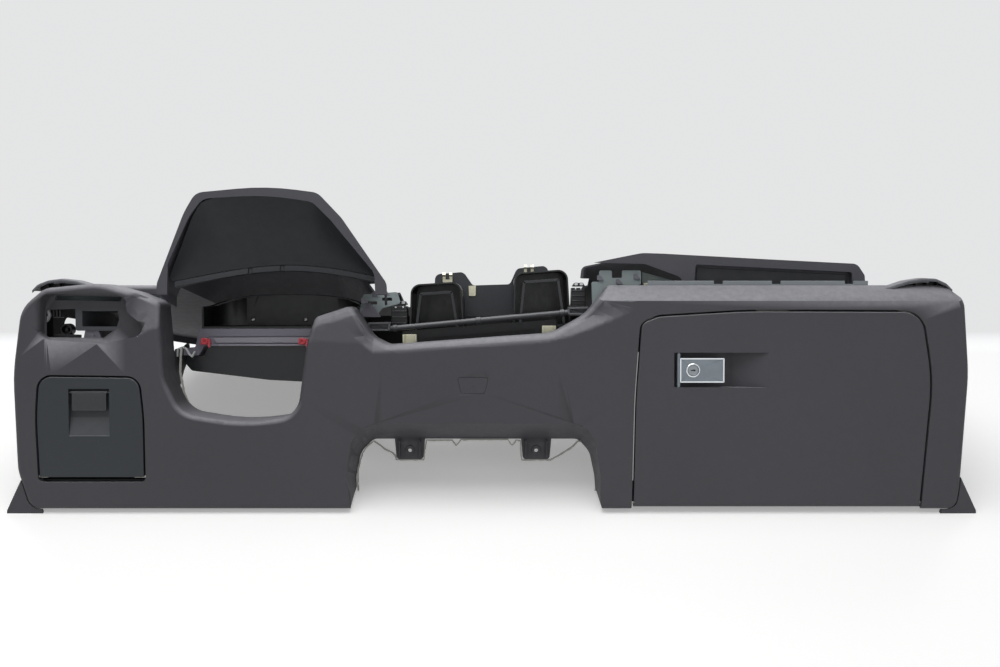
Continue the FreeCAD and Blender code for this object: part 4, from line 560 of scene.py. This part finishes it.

# Hood lining: smooth panel, hollow like a scoop, clipped in behind the lip of the hood. Its near-black
# colour is painted shade, as it faces down and away from the ceiling lamp.
# A curved trim with two clip notches closes its lower edge.
HOOD_LIP = [(-489, 362), (-474, 400), (-454, 452), (-440, 476), (-420, 482), (-380, 486), (-339, 488)]
HOOD_LIP += [(-300, 486), (-272, 481), (-256, 468), (-234, 440), (-205, 402), (-174, 362)]
LIP_DEPTH = 8.0
SCOOP_DEPTH = 11
TRIM_PARTS = [(0.01, 0.328, 0), (0.332, 0.345, 4), (0.349, 0.485, 0.6), (0.489, 0.505, 4), (0.509, 0.99, 0)]
TRIM_SECTION = [(0.6, 1.2), (1.6, -0.8), (6, -1.6), (9.6, -1.2), (11, 1.0), (11, 4.0)]


def along(line, part):
    """Point at a part of a line's length, rounded a little at its corners."""
    spans = [(Vector(end) - Vector(start)).length for start, end in zip(line, line[1:])]
    total = sum(spans)
    places = []
    for shift in (-0.012, 0.0, 0.012):
        left = max(0.0, min(1.0, part + shift)) * total
        for (start, end), span in zip(zip(line, line[1:]), spans):
            if left <= span + 1e-9:
                places.append(Vector(start).lerp(Vector(end), left / span))
                break
            left -= span
    return sum(places, Vector((0.0, 0.0))) / len(places)


def lining_foot(part):
    """Lower edge of the lining, which lies deep in the middle."""
    bow = math.sin(math.pi * part)
    return Vector((-487 + 311 * part, 14 + 62 * bow ** 0.8, 356 + 8 * part + 23 * bow))


def surface(mesh, rows, thickness):
    """Adds a curved sheet through rows of points, with its thickness to the back."""
    front = [[mesh.verts.new(point) for point in row] for row in rows]
    back = [[mesh.verts.new(point + thickness) for point in row] for row in rows]
    high, wide = len(rows) - 1, len(rows[0]) - 1
    for row in range(high):
        for column in range(wide):
            corners = ((row, column), (row, column + 1), (row + 1, column + 1), (row + 1, column))
            mesh.faces.new([front[a][b] for a, b in corners])
            mesh.faces.new([back[a][b] for a, b in reversed(corners)])
    border = [(0, column) for column in range(wide)] + [(row, wide) for row in range(high)]
    border += [(high, column) for column in range(wide, 0, -1)]
    border += [(row, 0) for row in range(high, 0, -1)]
    for index, (a, b) in enumerate(border):
        c, d = border[index - 1]
        mesh.faces.new((front[a][b], front[c][d], back[c][d], back[a][b]))


lining = bmesh.new()
rows = []
for row in range(21):
    down = row / 20
    rows.append([])
    for column in range(49):
        part = column / 48
        top = along(HOOD_LIP, part)
        place = Vector((top.x, LIP_DEPTH, top.y)).lerp(lining_foot(part), down)
        place.y += SCOOP_DEPTH * math.sin(math.pi * down) * math.sin(math.pi * part) ** 0.7
        rows[row].append(place)
surface(lining, rows, Vector((0, 1.5, 0.8)))
lining_painted_shade = moulded("hood_lining_painted_shade", "#1D2124", 0.5, 1100.0, 0.00004, 0.02)
set_piece("hood_lining_painted_shade", lining, lining_painted_shade, instead=["hood_inner_panel"])
trim = bmesh.new()
for start, end, sink in TRIM_PARTS:
    rows = []
    for drop, depth in TRIM_SECTION:
        rows.append([])
        for column in range(17):
            foot = lining_foot(start + (end - start) * column / 16)
            rows[-1].append(foot + Vector((0, depth + sink, -drop)))
    surface(trim, rows, Vector((0, 2.0, 0)))
trim_plastic = moulded("hood_trim", "#34363A", 0.4, 1100.0, 0.00003, 0.05)
set_piece("hood_trim", trim, trim_plastic, instead=["hood_lower_strip"])

# Column opening: grey crossmember with a lighter plate let into its face, a dark strut, and the
# glossy black air duct that blows on the driver's knees.
clothe(moulded("crossmember_plastic", "#7D7B86", 0.55, 700.0, 0.00005, 0.35), "column_crossmember")
clothe(moulded("strut_plastic", "#25262A", 0.5, 700.0, 0.00005, 0.1), "column_strut")
clothe(moulded("duct_black", "#17191B", 0.34, 1200.0, 0.00002, 0.03, 0.15), "knee_duct")
soften(0.8, "column_crossmember", "column_strut", "knee_duct")
PLATE_FACE = [(-444, 257.3, 2), (-450, 267.5, 2), (-276, 268.6, 2), (-276, 257.3, 2)]
bar_plate = bmesh.new()
plate(bar_plate, rounded(PLATE_FACE), 94.6, 97.0)
plate(bar_plate, window((-440, -276), (253.5, 256), 1, 2), 93.2, 96.6)
for left in (-414, -352):
    plate(bar_plate, window((left, left + 16), (259.5, 261.5), 1, 2), 93.9, 95)
plate_grey = moulded("plate_grey", "#97949D", 0.5, 900.0, 0.00004, 0.3)
set_piece("crossmember_plate", bar_plate, plate_grey, rounding=0.5)

# Column clips: two red snap clips with a screw seat, and a pale bent stay beside them.
# The clips are glossy and new looking, the stay is rough cut.
CLIP_WIDTH = 18
SCREW_SEAT = [(5.4, 0), (5.4, 2.6), (4.8, 3.2), (3.0, 3.2), (2.4, 2.6), (2.2, -3.0), (0, -3.0)]
STAY_LINE = [(-496.6, 238), (-495.5, 250), (-488, 253), (-482, 250), (-478, 242)]
STAY_LINE += [(-473, 237.5), (-469, 246)]


def turned(mesh, profile, centre, way=(0, -1, 0), sides=32, lobes=0, notch=0.0):
    """Adds a turned form: rings of (radius, height) along an axis; inner rings may be notched."""
    axis = Vector(way).normalized()
    turn = Vector((0, 0, 1)).rotation_difference(axis)
    rings = []
    for radius, height in profile:
        if radius == 0:
            rings.append([mesh.verts.new(Vector(centre) + axis * height)])
            continue
        ring = []
        notched = lobes and radius < profile[0][0] / 2 and height < profile[-1][1] + 0.9
        for index in range(sides):
            angle = 2 * math.pi * index / sides
            reach = radius * (1 + notch * math.cos(lobes * angle)) if notched else radius
            spot = Vector((reach * math.cos(angle), reach * math.sin(angle), height))
            ring.append(mesh.verts.new(Vector(centre) + turn @ spot))
        rings.append(ring)
    for low, high in zip(rings, rings[1:]):
        for index in range(sides):
            corners = [low[index - 1], low[index]] if len(low) > 1 else [low[0]]
            corners += [high[index], high[index - 1]] if len(high) > 1 else [high[0]]
            mesh.faces.new(corners)


def bent_bar(mesh, line, thickness, near, far):
    """Adds a flat bar bent along a line."""
    fine = finely(line, 3.0)
    ribbon(mesh, shifted(fine, thickness / 2), shifted(fine, -thickness / 2), near, far)


snap = bmesh.new()
for left in (-469, -312):
    right = left + CLIP_WIDTH
    foot = [(left, 254.5, 2), (left, 268.5, 3), (right, 266.5, 3), (right, 254.5, 2)]
    plate(snap, rounded(foot), 90.5, 95.8)
    turned(snap, SCREW_SEAT, (left + 8, 91.0, 261), sides=28)
    plate(snap, window((right - 4.5, right - 1), (251, 262), 1, 3), 88.4, 91)
clip_red = moulded("clip_red", "#D8505A", 0.36, 1400.0, 0.00002, 0.05)
set_piece("snap_clips", snap, clip_red, instead=["column_clips"], rounding=0.5)
stay = bmesh.new()
bent_bar(stay, STAY_LINE, 2.4, 62, 68)
stay_plastic = moulded("stay_plastic", "#C6C8C9", 0.5, 900.0, 0.00004, 0.1)
set_piece("bent_stay", stay, stay_plastic, instead=["column_bracket"], rounding=0.5)

# Instrument tray: blow-moulded black tub that held the instruments, with a rolled rim.
# Two pan-head screws hold its back wall.
TRAY_RIM = [(-466.5, 104, 315.5), (-466.5, 140, 315.5), (-462, 172, 321), (-446, 190, 327)]
TRAY_RIM += [(-420, 193.5, 332), (-396, 193.5, 334.5), (-340, 193.5, 334.6), (-290, 193.5, 334.5)]
TRAY_RIM += [(-262, 193.5, 331), (-236, 190, 327), (-220, 172, 321), (-215.8, 140, 315.5)]
TRAY_RIM += [(-215.8, 104, 315.5)]
PAN_HEAD = [(3.6, -1.0), (3.6, 0.4), (3.2, 1.3), (2.2, 1.9), (1.5, 1.9), (1.3, 0.9), (0, 0.9)]


def tube(name, points, radius, material, body=ROOT, instead=()):
    """Smooth round bar or bead through points in face millimetres."""
    curve = bpy.data.curves.new(name, "CURVE")
    curve.dimensions = "3D"
    curve.bevel_depth = radius / 1000
    curve.bevel_resolution = 4
    curve.use_fill_caps = True
    line = curve.splines.new("NURBS")
    line.points.add(len(points) - 1)
    for point, place in zip(line.points, points):
        point.co = (*(TO_ROOM @ Vector(place)), 1.0)
    line.order_u = 3
    line.use_endpoint_u = True
    return dress(bpy.data.objects.new(name, curve), material, body, instead)


clothe(moulded("tray_black", "#141517", 0.4, 1200.0, 0.00002, 0.03, 0.1), "instrument_tray")
soften(0.8, "instrument_tray")
# The rolled rim is the tub's own black plastic; its lighter grey is a painted highlight along the edge,
# while its low roughness and coat are real gloss.
rim_painted_highlight = moulded("rim_painted_highlight", "#3A3C40", 0.22, 1500.0, 0.00001, 0.1, 0.4)
tube("tray_rim", TRAY_RIM, 1.5, rim_painted_highlight)


def worked_metal():
    """Fine directional scratches and slow stains on bare or lacquered metal."""
    group, given, out = new_group(
        "worked_metal",
        [
            ("Colour", "NodeSocketColor", (0.5, 0.5, 0.5, 1.0)),
            ("Roughness", "NodeSocketFloat", 0.3),
            ("Along", "NodeSocketVector", (60.0, 900.0, 900.0)),
        ],
        [("Colour", "NodeSocketColor"), ("Roughness", "NodeSocketFloat"), ("Height", "NodeSocketFloat")],
    )
    nodes, links = group.nodes, group.links
    place = nodes.new("ShaderNodeTexCoord")
    stretch = nodes.new("ShaderNodeVectorMath")
    stretch.operation = "MULTIPLY"
    links.new(place.outputs["Object"], stretch.inputs[0])
    links.new(given.outputs["Along"], stretch.inputs[1])
    streaks = nodes.new("ShaderNodeTexNoise")
    streaks.inputs["Scale"].default_value = 1.0
    streaks.inputs["Detail"].default_value = 4.0
    links.new(stretch.outputs[0], streaks.inputs["Vector"])
    stain = nodes.new("ShaderNodeTexNoise")
    stain.inputs["Scale"].default_value = 70.0
    stain.inputs["Detail"].default_value = 5.0
    links.new(place.outputs["Object"], stain.inputs["Vector"])
    tone = nodes.new("ShaderNodeMapRange")
    tone.inputs["To Min"].default_value = 0.86
    tone.inputs["To Max"].default_value = 1.1
    links.new(stain.outputs["Fac"], tone.inputs["Value"])
    toned = nodes.new("ShaderNodeVectorMath")
    toned.operation = "SCALE"
    links.new(given.outputs["Colour"], toned.inputs[0])
    links.new(tone.outputs[0], toned.inputs["Scale"])
    links.new(toned.outputs[0], out.inputs["Colour"])
    change = nodes.new("ShaderNodeMath")
    change.operation = "MULTIPLY_ADD"
    change.inputs[1].default_value = 0.16
    links.new(streaks.outputs["Fac"], change.inputs[0])
    links.new(given.outputs["Roughness"], change.inputs[2])
    links.new(change.outputs[0], out.inputs["Roughness"])
    links.new(streaks.outputs["Fac"], out.inputs["Height"])
    return group


WORKED = worked_metal()


def metal(name, colour, roughness, metallic=1.0, depth=0.00001):
    """Material of a metal or lacquered piece."""
    material = bpy.data.materials.new(name)
    material.use_nodes = True
    nodes, links = material.node_tree.nodes, material.node_tree.links
    shader = nodes["Principled BSDF"]
    surface = nodes.new("ShaderNodeGroup")
    surface.node_tree = WORKED
    surface.inputs["Colour"].default_value = srgb(colour)
    surface.inputs["Roughness"].default_value = roughness
    bump = nodes.new("ShaderNodeBump")
    bump.inputs["Distance"].default_value = depth
    shader.inputs["Metallic"].default_value = metallic
    links.new(surface.outputs["Colour"], shader.inputs["Base Color"])
    links.new(surface.outputs["Roughness"], shader.inputs["Roughness"])
    links.new(surface.outputs["Height"], bump.inputs["Height"])
    links.new(bump.outputs["Normal"], shader.inputs["Normal"])
    return material


screws = bmesh.new()
for x in (-408, -318):
    turned(screws, PAN_HEAD, (x, 191.0, 293.3), lobes=6, notch=0.18)
screw_zinc = metal("screw_zinc", "#A9A9A4", 0.3)
set_piece("tray_screw_heads", screws, screw_zinc, instead=["tray_screws"])

# Centre opening: two rounded black sockets for the vents in a plain housing, the grey humped channel
# behind them, and the black panel below. A glossy lip runs round each socket.
vent_black = moulded("vent_black", "#0D0F11", 0.36, 1300.0, 0.00002, 0.02, 0.15)
clothe(vent_black, "centre_duct_left", "centre_duct_right")
clothe(moulded("housing_black", "#131416", 0.5, 900.0, 0.00004, 0.05), "centre_housing", "radio_panel")
clothe(moulded("channel_grey", "#3F4246", 0.6, 800.0, 0.00005, 0.5), "rear_channel")
soften(1.2, "rear_channel", "centre_housing", "radio_panel")
soften(0.6, "centre_duct_left", "centre_duct_right")
SOCKETS = [
    [(-134, 262, 10), (-131, 352, 16), (-50, 357, 16), (-44, 266, 10)],
    [(34, 270, 10), (36, 371, 16), (122, 377, 16), (128, 276, 10)],
]


def inset(line, gap):
    """Closed line inside another."""
    return shifted(line + line[:1], gap)[:-1]


lips = bmesh.new()
for outline in SOCKETS:
    ring = rounded(outline, 6)
    ribbon(lips, inset(ring, -0.8), inset(ring, 3.4), 101.8, 104.2, closed=True)
lip_black = moulded("lip_black", "#1A1C1F", 0.3, 1300.0, 0.00001, 0.1, 0.3)
set_piece("vent_lips", lips, lip_black, rounding=0.6)

# Vent clips: bent spring steel on the humps of the channel, two prongs and a folded top each,
# and a small stamped holder between the sockets.
CLIP_SPAN = 16.5
PRONG_WIDTH = 5
PRONG = [(203.2, 0), (199.5, 1.5), (198.6, 14), (195, 17), (191.5, 13), (193, 10)]
spring = bmesh.new()
for left, low in ((-85, 357), (54, 370)):
    for prong in (left, left + CLIP_SPAN - PRONG_WIDTH):
        for base, tip in zip(PRONG, PRONG[1:]):
            rows = []
            for depth, rise in (tip, base):
                rows.append([Vector((x, depth, low + rise)) for x in (prong, prong + PRONG_WIDTH)])
            surface(spring, rows, Vector((0, 0.8, 0.5)))
    plate(spring, window((left, left + CLIP_SPAN), (low, low + 5), 1, 2), 198.9, 200.4)
plate(spring, rounded([(-40, 334, 1), (-42, 352, 2), (-27, 353, 2), (-29, 334, 1)], 3), 201.6, 203.2)
plate(spring, rounded([(-37, 338, 1), (-38, 347, 1), (-31, 347, 1), (-32, 338, 1)], 3), 199.8, 201.8)
zinc = metal("zinced_steel", "#D2CFB8", 0.32)
set_piece("vent_clips", spring, zinc, instead=["duct_clips"])

# Connectors: black moulded plugs beside the sockets, with ribs for the fingers.
# A stamped metal cap and a pin sit at each side of their tops.
CONNECTORS = [(-166, -135, 279.5, 328), (126.5, 154, 317, 358)]
PIN = [(1.7, -1), (1.7, 0.6), (1.1, 1.0), (0, 1.0)]
connectors = bmesh.new()
caps = bmesh.new()
for left, right, low, high in CONNECTORS:
    shoulder = high - 10
    block = [(left, low, 3), (left, high - 8, 4), (right, high - 8, 4), (right, low, 3)]
    plate(connectors, rounded(block), 110, 138)
    top = [(left + 3, shoulder, 2), (left + 5, high, 4), (right - 3, high, 4), (right - 2, shoulder, 2)]
    plate(connectors, rounded(top), 112, 132)
    for step in (0.18, 0.38, 0.58):
        rib = low + (high - low) * step
        plate(connectors, window((left + 3, right - 3), (rib, rib + 2.2), 1, 2), 108, 111)
    for x in (left + 7, right - 12):
        cap = [(x, high - 7, 1), (x + 1, high - 2, 1), (x + 5, high - 2, 1), (x + 6, high - 7, 1)]
        plate(caps, rounded(cap, 2), 110.6, 112)
        turned(caps, PIN, (x + 2.5, 110.2, high - 13), sides=16)
connector_black = moulded("connector_black", "#1B1C1E", 0.38, 1300.0, 0.00002, 0.15, 0.1)
set_piece("connector_blocks", connectors, connector_black,
          instead=["side_blocks"], rounding=0.6)
set_piece("connector_caps", caps, metal("cap_metal", "#B9BABB", 0.2))

# Crossbar: dark painted tube with three collars, between two square cups that stand open to the front.
# The cups are welded to folded arms on the sides of the housing.
CUPS = [(-196, -160, 277.5, 293, -214), (119, 153, 303, 317, 189)]
BAR_LINE = [(-163, 68, 281.5), (-120, 68, 285.6), (20, 68, 298.5), (78, 68, 303.8), (121, 68, 307.6)]
COLLAR = [(4.2, -4), (5.6, -3.4), (5.6, 3.4), (4.2, 4)]
cups = bmesh.new()
for left, right, low, high, wall in CUPS:
    mouth = [(left, low, 2.5), (left - 1, high, 2.5), (right + 2, high + 1, 2.5), (right, low, 2.5)]
    box = rounded(mouth, 4)
    ribbon(cups, box, inset(box, 2.4), 60.6, 75.8, closed=True)
    plate(cups, inset(box, 1.5), 72.5, 74.5)
    side = left if wall < left else right
    plate(cups, [(side, low + 2), (side, high - 3), (wall, high - 1), (wall, low - 6)], 66, 69)
    plate(cups, [(side, low - 1), (side, low + 3), (wall, low - 3), (wall, low - 22)], 64, 75.5)
cup_grey = moulded("cup_grey", "#6F7074", 0.4, 1100.0, 0.00003, 0.3)
set_piece("crossbar_cups", cups, cup_grey,
          instead=["crossbar_bracket_left", "crossbar_bracket_right"], rounding=0.5)
bar_paint = moulded("bar_paint", "#3C3D40", 0.36, 1600.0, 0.00002, 0.35, 0.1)
tube("crossbar_tube", BAR_LINE, 4.4, bar_paint, instead=["crossbar"])
collars = bmesh.new()
bar_start = Vector(BAR_LINE[0])
bar_way = Vector(BAR_LINE[-1]) - bar_start
for part in (0.035, 0.5, 0.965):
    turned(collars, COLLAR, bar_start + bar_way * part, bar_way)
set_piece("crossbar_collars", collars, bar_paint)

# Carriers: pale recycled plastic with a faint green cast, clipped under the pad's front edge.
# The rail, the funnel behind the switch bay and the small zinced clips belong to them.
CARRIERS = ["centre_bracket_left", "centre_bracket_right", "carrier_beam_left", "carrier_beam_right"]
ZINCED = ["radio_brackets", "trim_clip", "speed_nuts"]
clothe(moulded("carrier_pale", "#98A3A3", 0.55, 800.0, 0.00005, 0.3), *CARRIERS)
clothe(moulded("rail_pale", "#8A9094", 0.5, 900.0, 0.00004, 0.4), "trim_rail")
clothe(moulded("funnel_grey", "#4A4C50", 0.5, 900.0, 0.00004, 0.25), "side_vent_duct")
soften(0.7, "trim_rail", *CARRIERS)
clothe(zinc, *ZINCED)
soften(0.4, *ZINCED)

# Carrier hooks: small lilac grey snap hooks that stand on the carriers beside the centre opening,
# with a humped tongue behind those on the driver's side.
HOOKS = [(-207, 322), (-190, 331), (-172, 334), (166, 358), (196, 352), (224, 360)]
TONGUE = [(-212, 300, 0), (-208, 322, 6), (-196, 328, 6), (-182, 318, 6), (-178, 300, 0)]
hooks = bmesh.new()
for x, z in HOOKS:
    hook = [(x, z, 1.5), (x, z + 9, 1.5), (x + 5, z + 9, 1.5), (x + 11, z + 2, 1.5), (x + 11, z, 1)]
    plate(hooks, rounded(hook, 3), 68.5, 72)
plate(hooks, rounded(TONGUE), 79, 90)
hook_lilac = moulded("hook_lilac", "#77767F", 0.5, 900.0, 0.00004, 0.4)
set_piece("carrier_hooks", hooks, hook_lilac, rounding=0.8)

# Wedge: a strip of green foam that lies on the carrier beside the brow, with a small stop before it.
# It is glued down and keeps the trim from rattling.
wedge = bmesh.new()
upper = [Vector((224, 92, 346)), Vector((296, 92, 346))]
lower = [Vector((224, 66, 335)), Vector((306, 66, 335))]
surface(wedge, [upper, lower], Vector((0, 1, 2)))
plate(wedge, window((228, 252), (336, 341), 2, 3), 62, 66)
foam_green = moulded("foam_green", "#5E7672", 0.8, 500.0, 0.0002, 0.2)
set_piece("green_wedge", wedge, foam_green, rounding=0.6)

# Switch bay at the driver's end: a bent pale stay, a round socket and a grey stub behind the cutout.
# All three are clipped to the bay's floor.
BAY_STAY = [(-684, 315), (-680.5, 304), (-685, 296), (-693, 291.5), (-696.5, 284), (-695.5, 272.5)]
BAY_SOCKET = [(9.5, -14), (9.5, 0), (8.8, 1.2), (7.0, 1.2), (6.4, 0), (6.0, -9)]
BAY_SOCKET += [(2.6, -9), (2.2, -2), (0, -2)]
bay = bmesh.new()
bent_bar(bay, BAY_STAY, 4.2, 25.2, 31)
bay_pale = moulded("bay_pale", "#A9A9AC", 0.5, 900.0, 0.00004, 0.2)
set_piece("bay_stay", bay, bay_pale, instead=["switch_bracket"], rounding=0.8)
socket = bmesh.new()
turned(socket, BAY_SOCKET, (-661, 40, 281))
plate(socket, rounded([(-678, 268, 2), (-678, 276, 2), (-640, 274, 2), (-640, 267, 2)], 3), 33, 50)
for x in (-676, -671, -666):
    plate(socket, window((x, x + 2.4), (300, 312), 0.8, 2), 27, 40)
socket_black = moulded("socket_black", "#141517", 0.4, 1100.0, 0.00003, 0.1)
set_piece("bay_socket", socket, socket_black, rounding=0.4)
stub = bmesh.new()
plate(stub, rounded([(-631, 263.5, 2), (-628, 283, 3), (-604, 283, 3), (-600, 265, 2)]), 27, 44)
plate(stub, window((-622, -612), (268, 275), 1, 2), 25.6, 28)
stub_grey = moulded("stub_grey", "#706F77", 0.5, 900.0, 0.00004, 0.3)
set_piece("bay_stub", stub, stub_grey, rounding=0.8)

# End outlets: curved hoods over the demister openings on the top corners.
# Each is dark inside, with five vanes and a pale inner band.
LEFT_ARCH = [(-707, 343), (-698, 352), (-682, 358), (-661, 360.5), (-640, 358)]
LEFT_ARCH += [(-614, 350.5), (-588, 343.5)]
RIGHT_ARCH = [(597, 344), (618, 350.5), (640, 358), (662, 361.5), (684, 360.5), (699, 354), (709, 344)]
HOOD_SECTION = [(24, 3.2), (25, 1.2), (30, 0.2), (44, 0), (56, 0.4), (59.5, 1.4)]
outlet_skin = moulded("outlet_skin", "#4B4C50", 0.5, 900.0, 0.00004, 0.6)
outlet_dark = moulded("outlet_dark", "#111214", 0.5, 900.0, 0.00003, 0.05)
for side, arch, middle in (("left", LEFT_ARCH, -655), ("right", RIGHT_ARCH, 668)):
    hood = bmesh.new()
    rows = []
    for depth, drop in HOOD_SECTION:
        rows.append([])
        for column in range(33):
            spot = along(arch, column / 32)
            rows[-1].append(Vector((middle + (spot.x - middle) * (1 - drop / 90), depth, spot.y - drop)))
    surface(hood, rows, Vector((0, 0, -2.2)))
    set_piece(f"outlet_hood_{side}", hood, outlet_skin, instead=[f"side_vent_hoop_{side}"])
    core = bmesh.new()
    inner = [tuple(along(arch, 0.08 + 0.84 * column / 16) - Vector((0, 3.4))) for column in range(17)]
    plate(core, [(inner[0][0], 343), *inner, (inner[-1][0], 343)], 40, 42)
    for step in range(5):
        foot = along(arch, 0.22 + 0.14 * step)
        left, right = foot.x - 0.8, foot.x + 0.8
        plate(core, [(left, 345), (left, foot.y - 3), (right, foot.y - 3), (right, 345)], 30, 41)
    set_piece(f"outlet_core_{side}", core, outlet_dark, rounding=0.3)
    rim = bmesh.new()
    crest = [tuple(along(arch, 0.3 + 0.36 * column / 10) - Vector((0, 4.6))) for column in range(11)]
    ribbon(rim, crest, [(x, z - 2.4) for x, z in crest], 28, 40)
    rim_pale = moulded(f"rim_pale_{side}", "#8E8F93", 0.4, 900.0, 0.00003, 0.2)
    set_piece(f"outlet_rim_{side}", rim, rim_pale, rounding=0.5)

# Glovebox: the lid is the fascia's own plastic; the tub, the sill and the latch are plain black.
# The pins and the striker are bright wire.
bin_black = moulded("bin_black", "#17181A", 0.6, 900.0, 0.00005, 0.1)
clothe(bin_black, "glovebox_tub", "glovebox_latch", "glovebox_sill")
clothe(metal("wire_steel", "#A5A49C", 0.3), "glovebox_striker", "glovebox_hinge_pins", "storage_hinge_pins")

# Glovebox handle: satin lacquered plate in a polished frame, on an upright spindle at its left edge.
# A polished ring round the lock stands on it, and the lock's barrel passes through behind.
LOCK = (305.5, 220.75)
LOCK_SEAT = 8.6
LOCK_RING = [(10.6, -1), (10.6, 1.6), (9.8, 2.3), (8.9, 2.3), (8.4, 1.4), (8.4, -1), (10.6, -1)]
BARREL = [(11.9, -12.8), (11.9, -2.2), (9.2, -2.2), (9.2, -12.8), (11.9, -12.8)]
SPINDLE = (284.5, 4.0, 0)
frame_line = window((281.6, 356.8), (198.2, 243.3), 5, 6)
handle_frame = bmesh.new()
ribbon(handle_frame, frame_line, inset(frame_line, 1.9), -1.9, 1.8, closed=True)
turned(handle_frame, LOCK_RING, (LOCK[0], -1.0, LOCK[1]), sides=48)
set_piece("handle_frame", handle_frame, metal("frame_polished", "#D5D9DC", 0.12),
          body="glovebox_handle_set", instead=["glovebox_handle"], rounding=0.6)


def holed_plate(mesh, outline, centre, radius, near, far):
    """Adds a plate with one round hole."""
    turns = [math.atan2(z - centre[1], x - centre[0]) for x, z in outline]
    start = min(range(len(outline)), key=lambda index: abs(turns[index]))
    line = outline[start:] + outline[:start]
    fine = finely(line + line[:1], 2.2)[:-1]
    rim = []
    for x, z in fine:
        turn = math.atan2(z - centre[1], x - centre[0])
        rim.append((centre[0] + radius * math.cos(turn), centre[1] + radius * math.sin(turn)))
    ribbon(mesh, fine, rim, near, far, closed=True)


def rod(radius, start, end):
    """Turning profile of a plain round rod."""
    return [(0, start), (radius, start), (radius, end), (0, end)]


handle_face = bmesh.new()
holed_plate(handle_face, inset(frame_line, 1.5), LOCK, LOCK_SEAT, -1.3, 2.2)
turned(handle_face, BARREL, (LOCK[0], 0, LOCK[1]), sides=40)
for radius, low, high in ((3.0, 195.6, 246.2), (1.5, 191.6, 250.4)):
    turned(handle_face, rod(radius, low, high), SPINDLE, (0, 0, 1), sides=24)
handle_satin = metal("handle_satin", "#7F878D", 0.36, 0.8)
set_piece("handle_face", handle_face, handle_satin, body="glovebox_handle_set")

# Lock plug: satin barrel with a raised edge and a level key slot, which turns in the handle.
# A plain disc closes its back.
SLOT_HALF = (3.4, 1.1)
PLUG_BACK = rod(7.5, -13.5, -8)


def circle(centre, radius, count=48):
    """Points of a circle."""
    turns = [2 * math.pi * index / count for index in range(count)]
    return [(centre[0] + radius * math.cos(turn), centre[1] + radius * math.sin(turn)) for turn in turns]


plug = bmesh.new()
slot = []
for x, z in circle((0, 0), 9):
    across = max(-SLOT_HALF[0], min(SLOT_HALF[0], x))
    slot.append((LOCK[0] + across, LOCK[1] + max(-SLOT_HALF[1], min(SLOT_HALF[1], z))))
ribbon(plug, circle(LOCK, 8.1), circle(LOCK, 6.9), -2.1, 8, closed=True)
ribbon(plug, circle(LOCK, 7.2), slot, -1.7, 8, closed=True)
turned(plug, PLUG_BACK, (LOCK[0], 0, LOCK[1]), sides=40)
plug_satin = metal("plug_satin", "#8C9296", 0.3, 0.9)
set_piece("lock_plug", plug, plug_satin, body="lock_set",
          instead=["lock_cylinder"], rounding=0.25)

# Storage box on the driver's side: charcoal lid, glossy black flap, plain black tray behind.
# The flap is crowned and turns on two short pins.
FLAP_LEFT, FLAP_RIGHT = -639.3, -582.7
FLAP_MIDDLE = (-611, 173.25)
FLAP_PIVOT = (0, 3.2, 187)
FLAP_CROWN = [(1.0, 3.4), (1.0, 1.2), (0.985, 0.5), (0.96, 0.15), (0.8, -0.15), (0.5, -0.4), (0.2, -0.5)]
clothe(moulded("store_charcoal", "#313538", 0.5, 820.0, 0.00006, 0.3), "storage_lid")
clothe(moulded("store_bin", "#17181A", 0.6, 900.0, 0.00005, 0.1), "storage_tray")
flap = bmesh.new()
outline = window((FLAP_LEFT, FLAP_RIGHT), (157.2, 189.3), 3, 6)
rings = []
for scale, depth in FLAP_CROWN:
    rings.append([])
    for x, z in outline:
        across = FLAP_MIDDLE[0] + (x - FLAP_MIDDLE[0]) * scale
        up = FLAP_MIDDLE[1] + (z - FLAP_MIDDLE[1]) * scale
        rings[-1].append(flap.verts.new((across, depth, up)))
for low, high in zip(rings, rings[1:]):
    for index in range(len(outline)):
        flap.faces.new((low[index - 1], low[index], high[index], high[index - 1]))
flap.faces.new(rings[0])
flap.faces.new(rings[-1])
for radius, past in ((2.4, -0.5), (1.2, 5.5)):
    left, right = FLAP_LEFT - past, FLAP_RIGHT + past
    turned(flap, rod(radius, left, right), FLAP_PIVOT, (1, 0, 0), sides=24)
flap_gloss = moulded("flap_gloss", "#1E2225", 0.2, 1400.0, 0.00001, 0.1, 0.5)
set_piece("storage_flap", flap, flap_gloss, body="storage_handle_set",
          instead=["storage_handle"], crease=40.0)

# Ends and windscreen edge: black structural side plates, the slotted demister grille and its trough.
# They are plain mouldings that are out of sight in the car.
clothe(moulded("end_black", "#1C1D20", 0.62, 700.0, 0.00006, 0.15), "end_panel_left", "end_panel_right")
clothe(moulded("grille_black", "#1D1F22", 0.5, 900.0, 0.00004, 0.25), "defroster_grille", "defroster_duct")
soften(0.8, "end_panel_left", "end_panel_right", "defroster_grille")

# Console tabs: rolled rings round the two screw seats under the arch, with a rib on each side.
# They are part of the fascia moulding.
TAB_RING = [(7.2, -0.4), (7.2, 1.6), (6.4, 2.2), (4.2, 2.2), (3.6, 1.4), (3.2, -0.4), (7.2, -0.4)]
tabs = bmesh.new()
for middle in (-129, 70):
    turned(tabs, TAB_RING, (middle, 57, 90), sides=36)
    for left in (middle - 17.5, middle + 15):
        plate(tabs, window((left, left + 2.5), (79, 107), 1, 2), 50, 57.4)
set_piece("tab_seats", tabs, fascia_plastic, rounding=0.5)
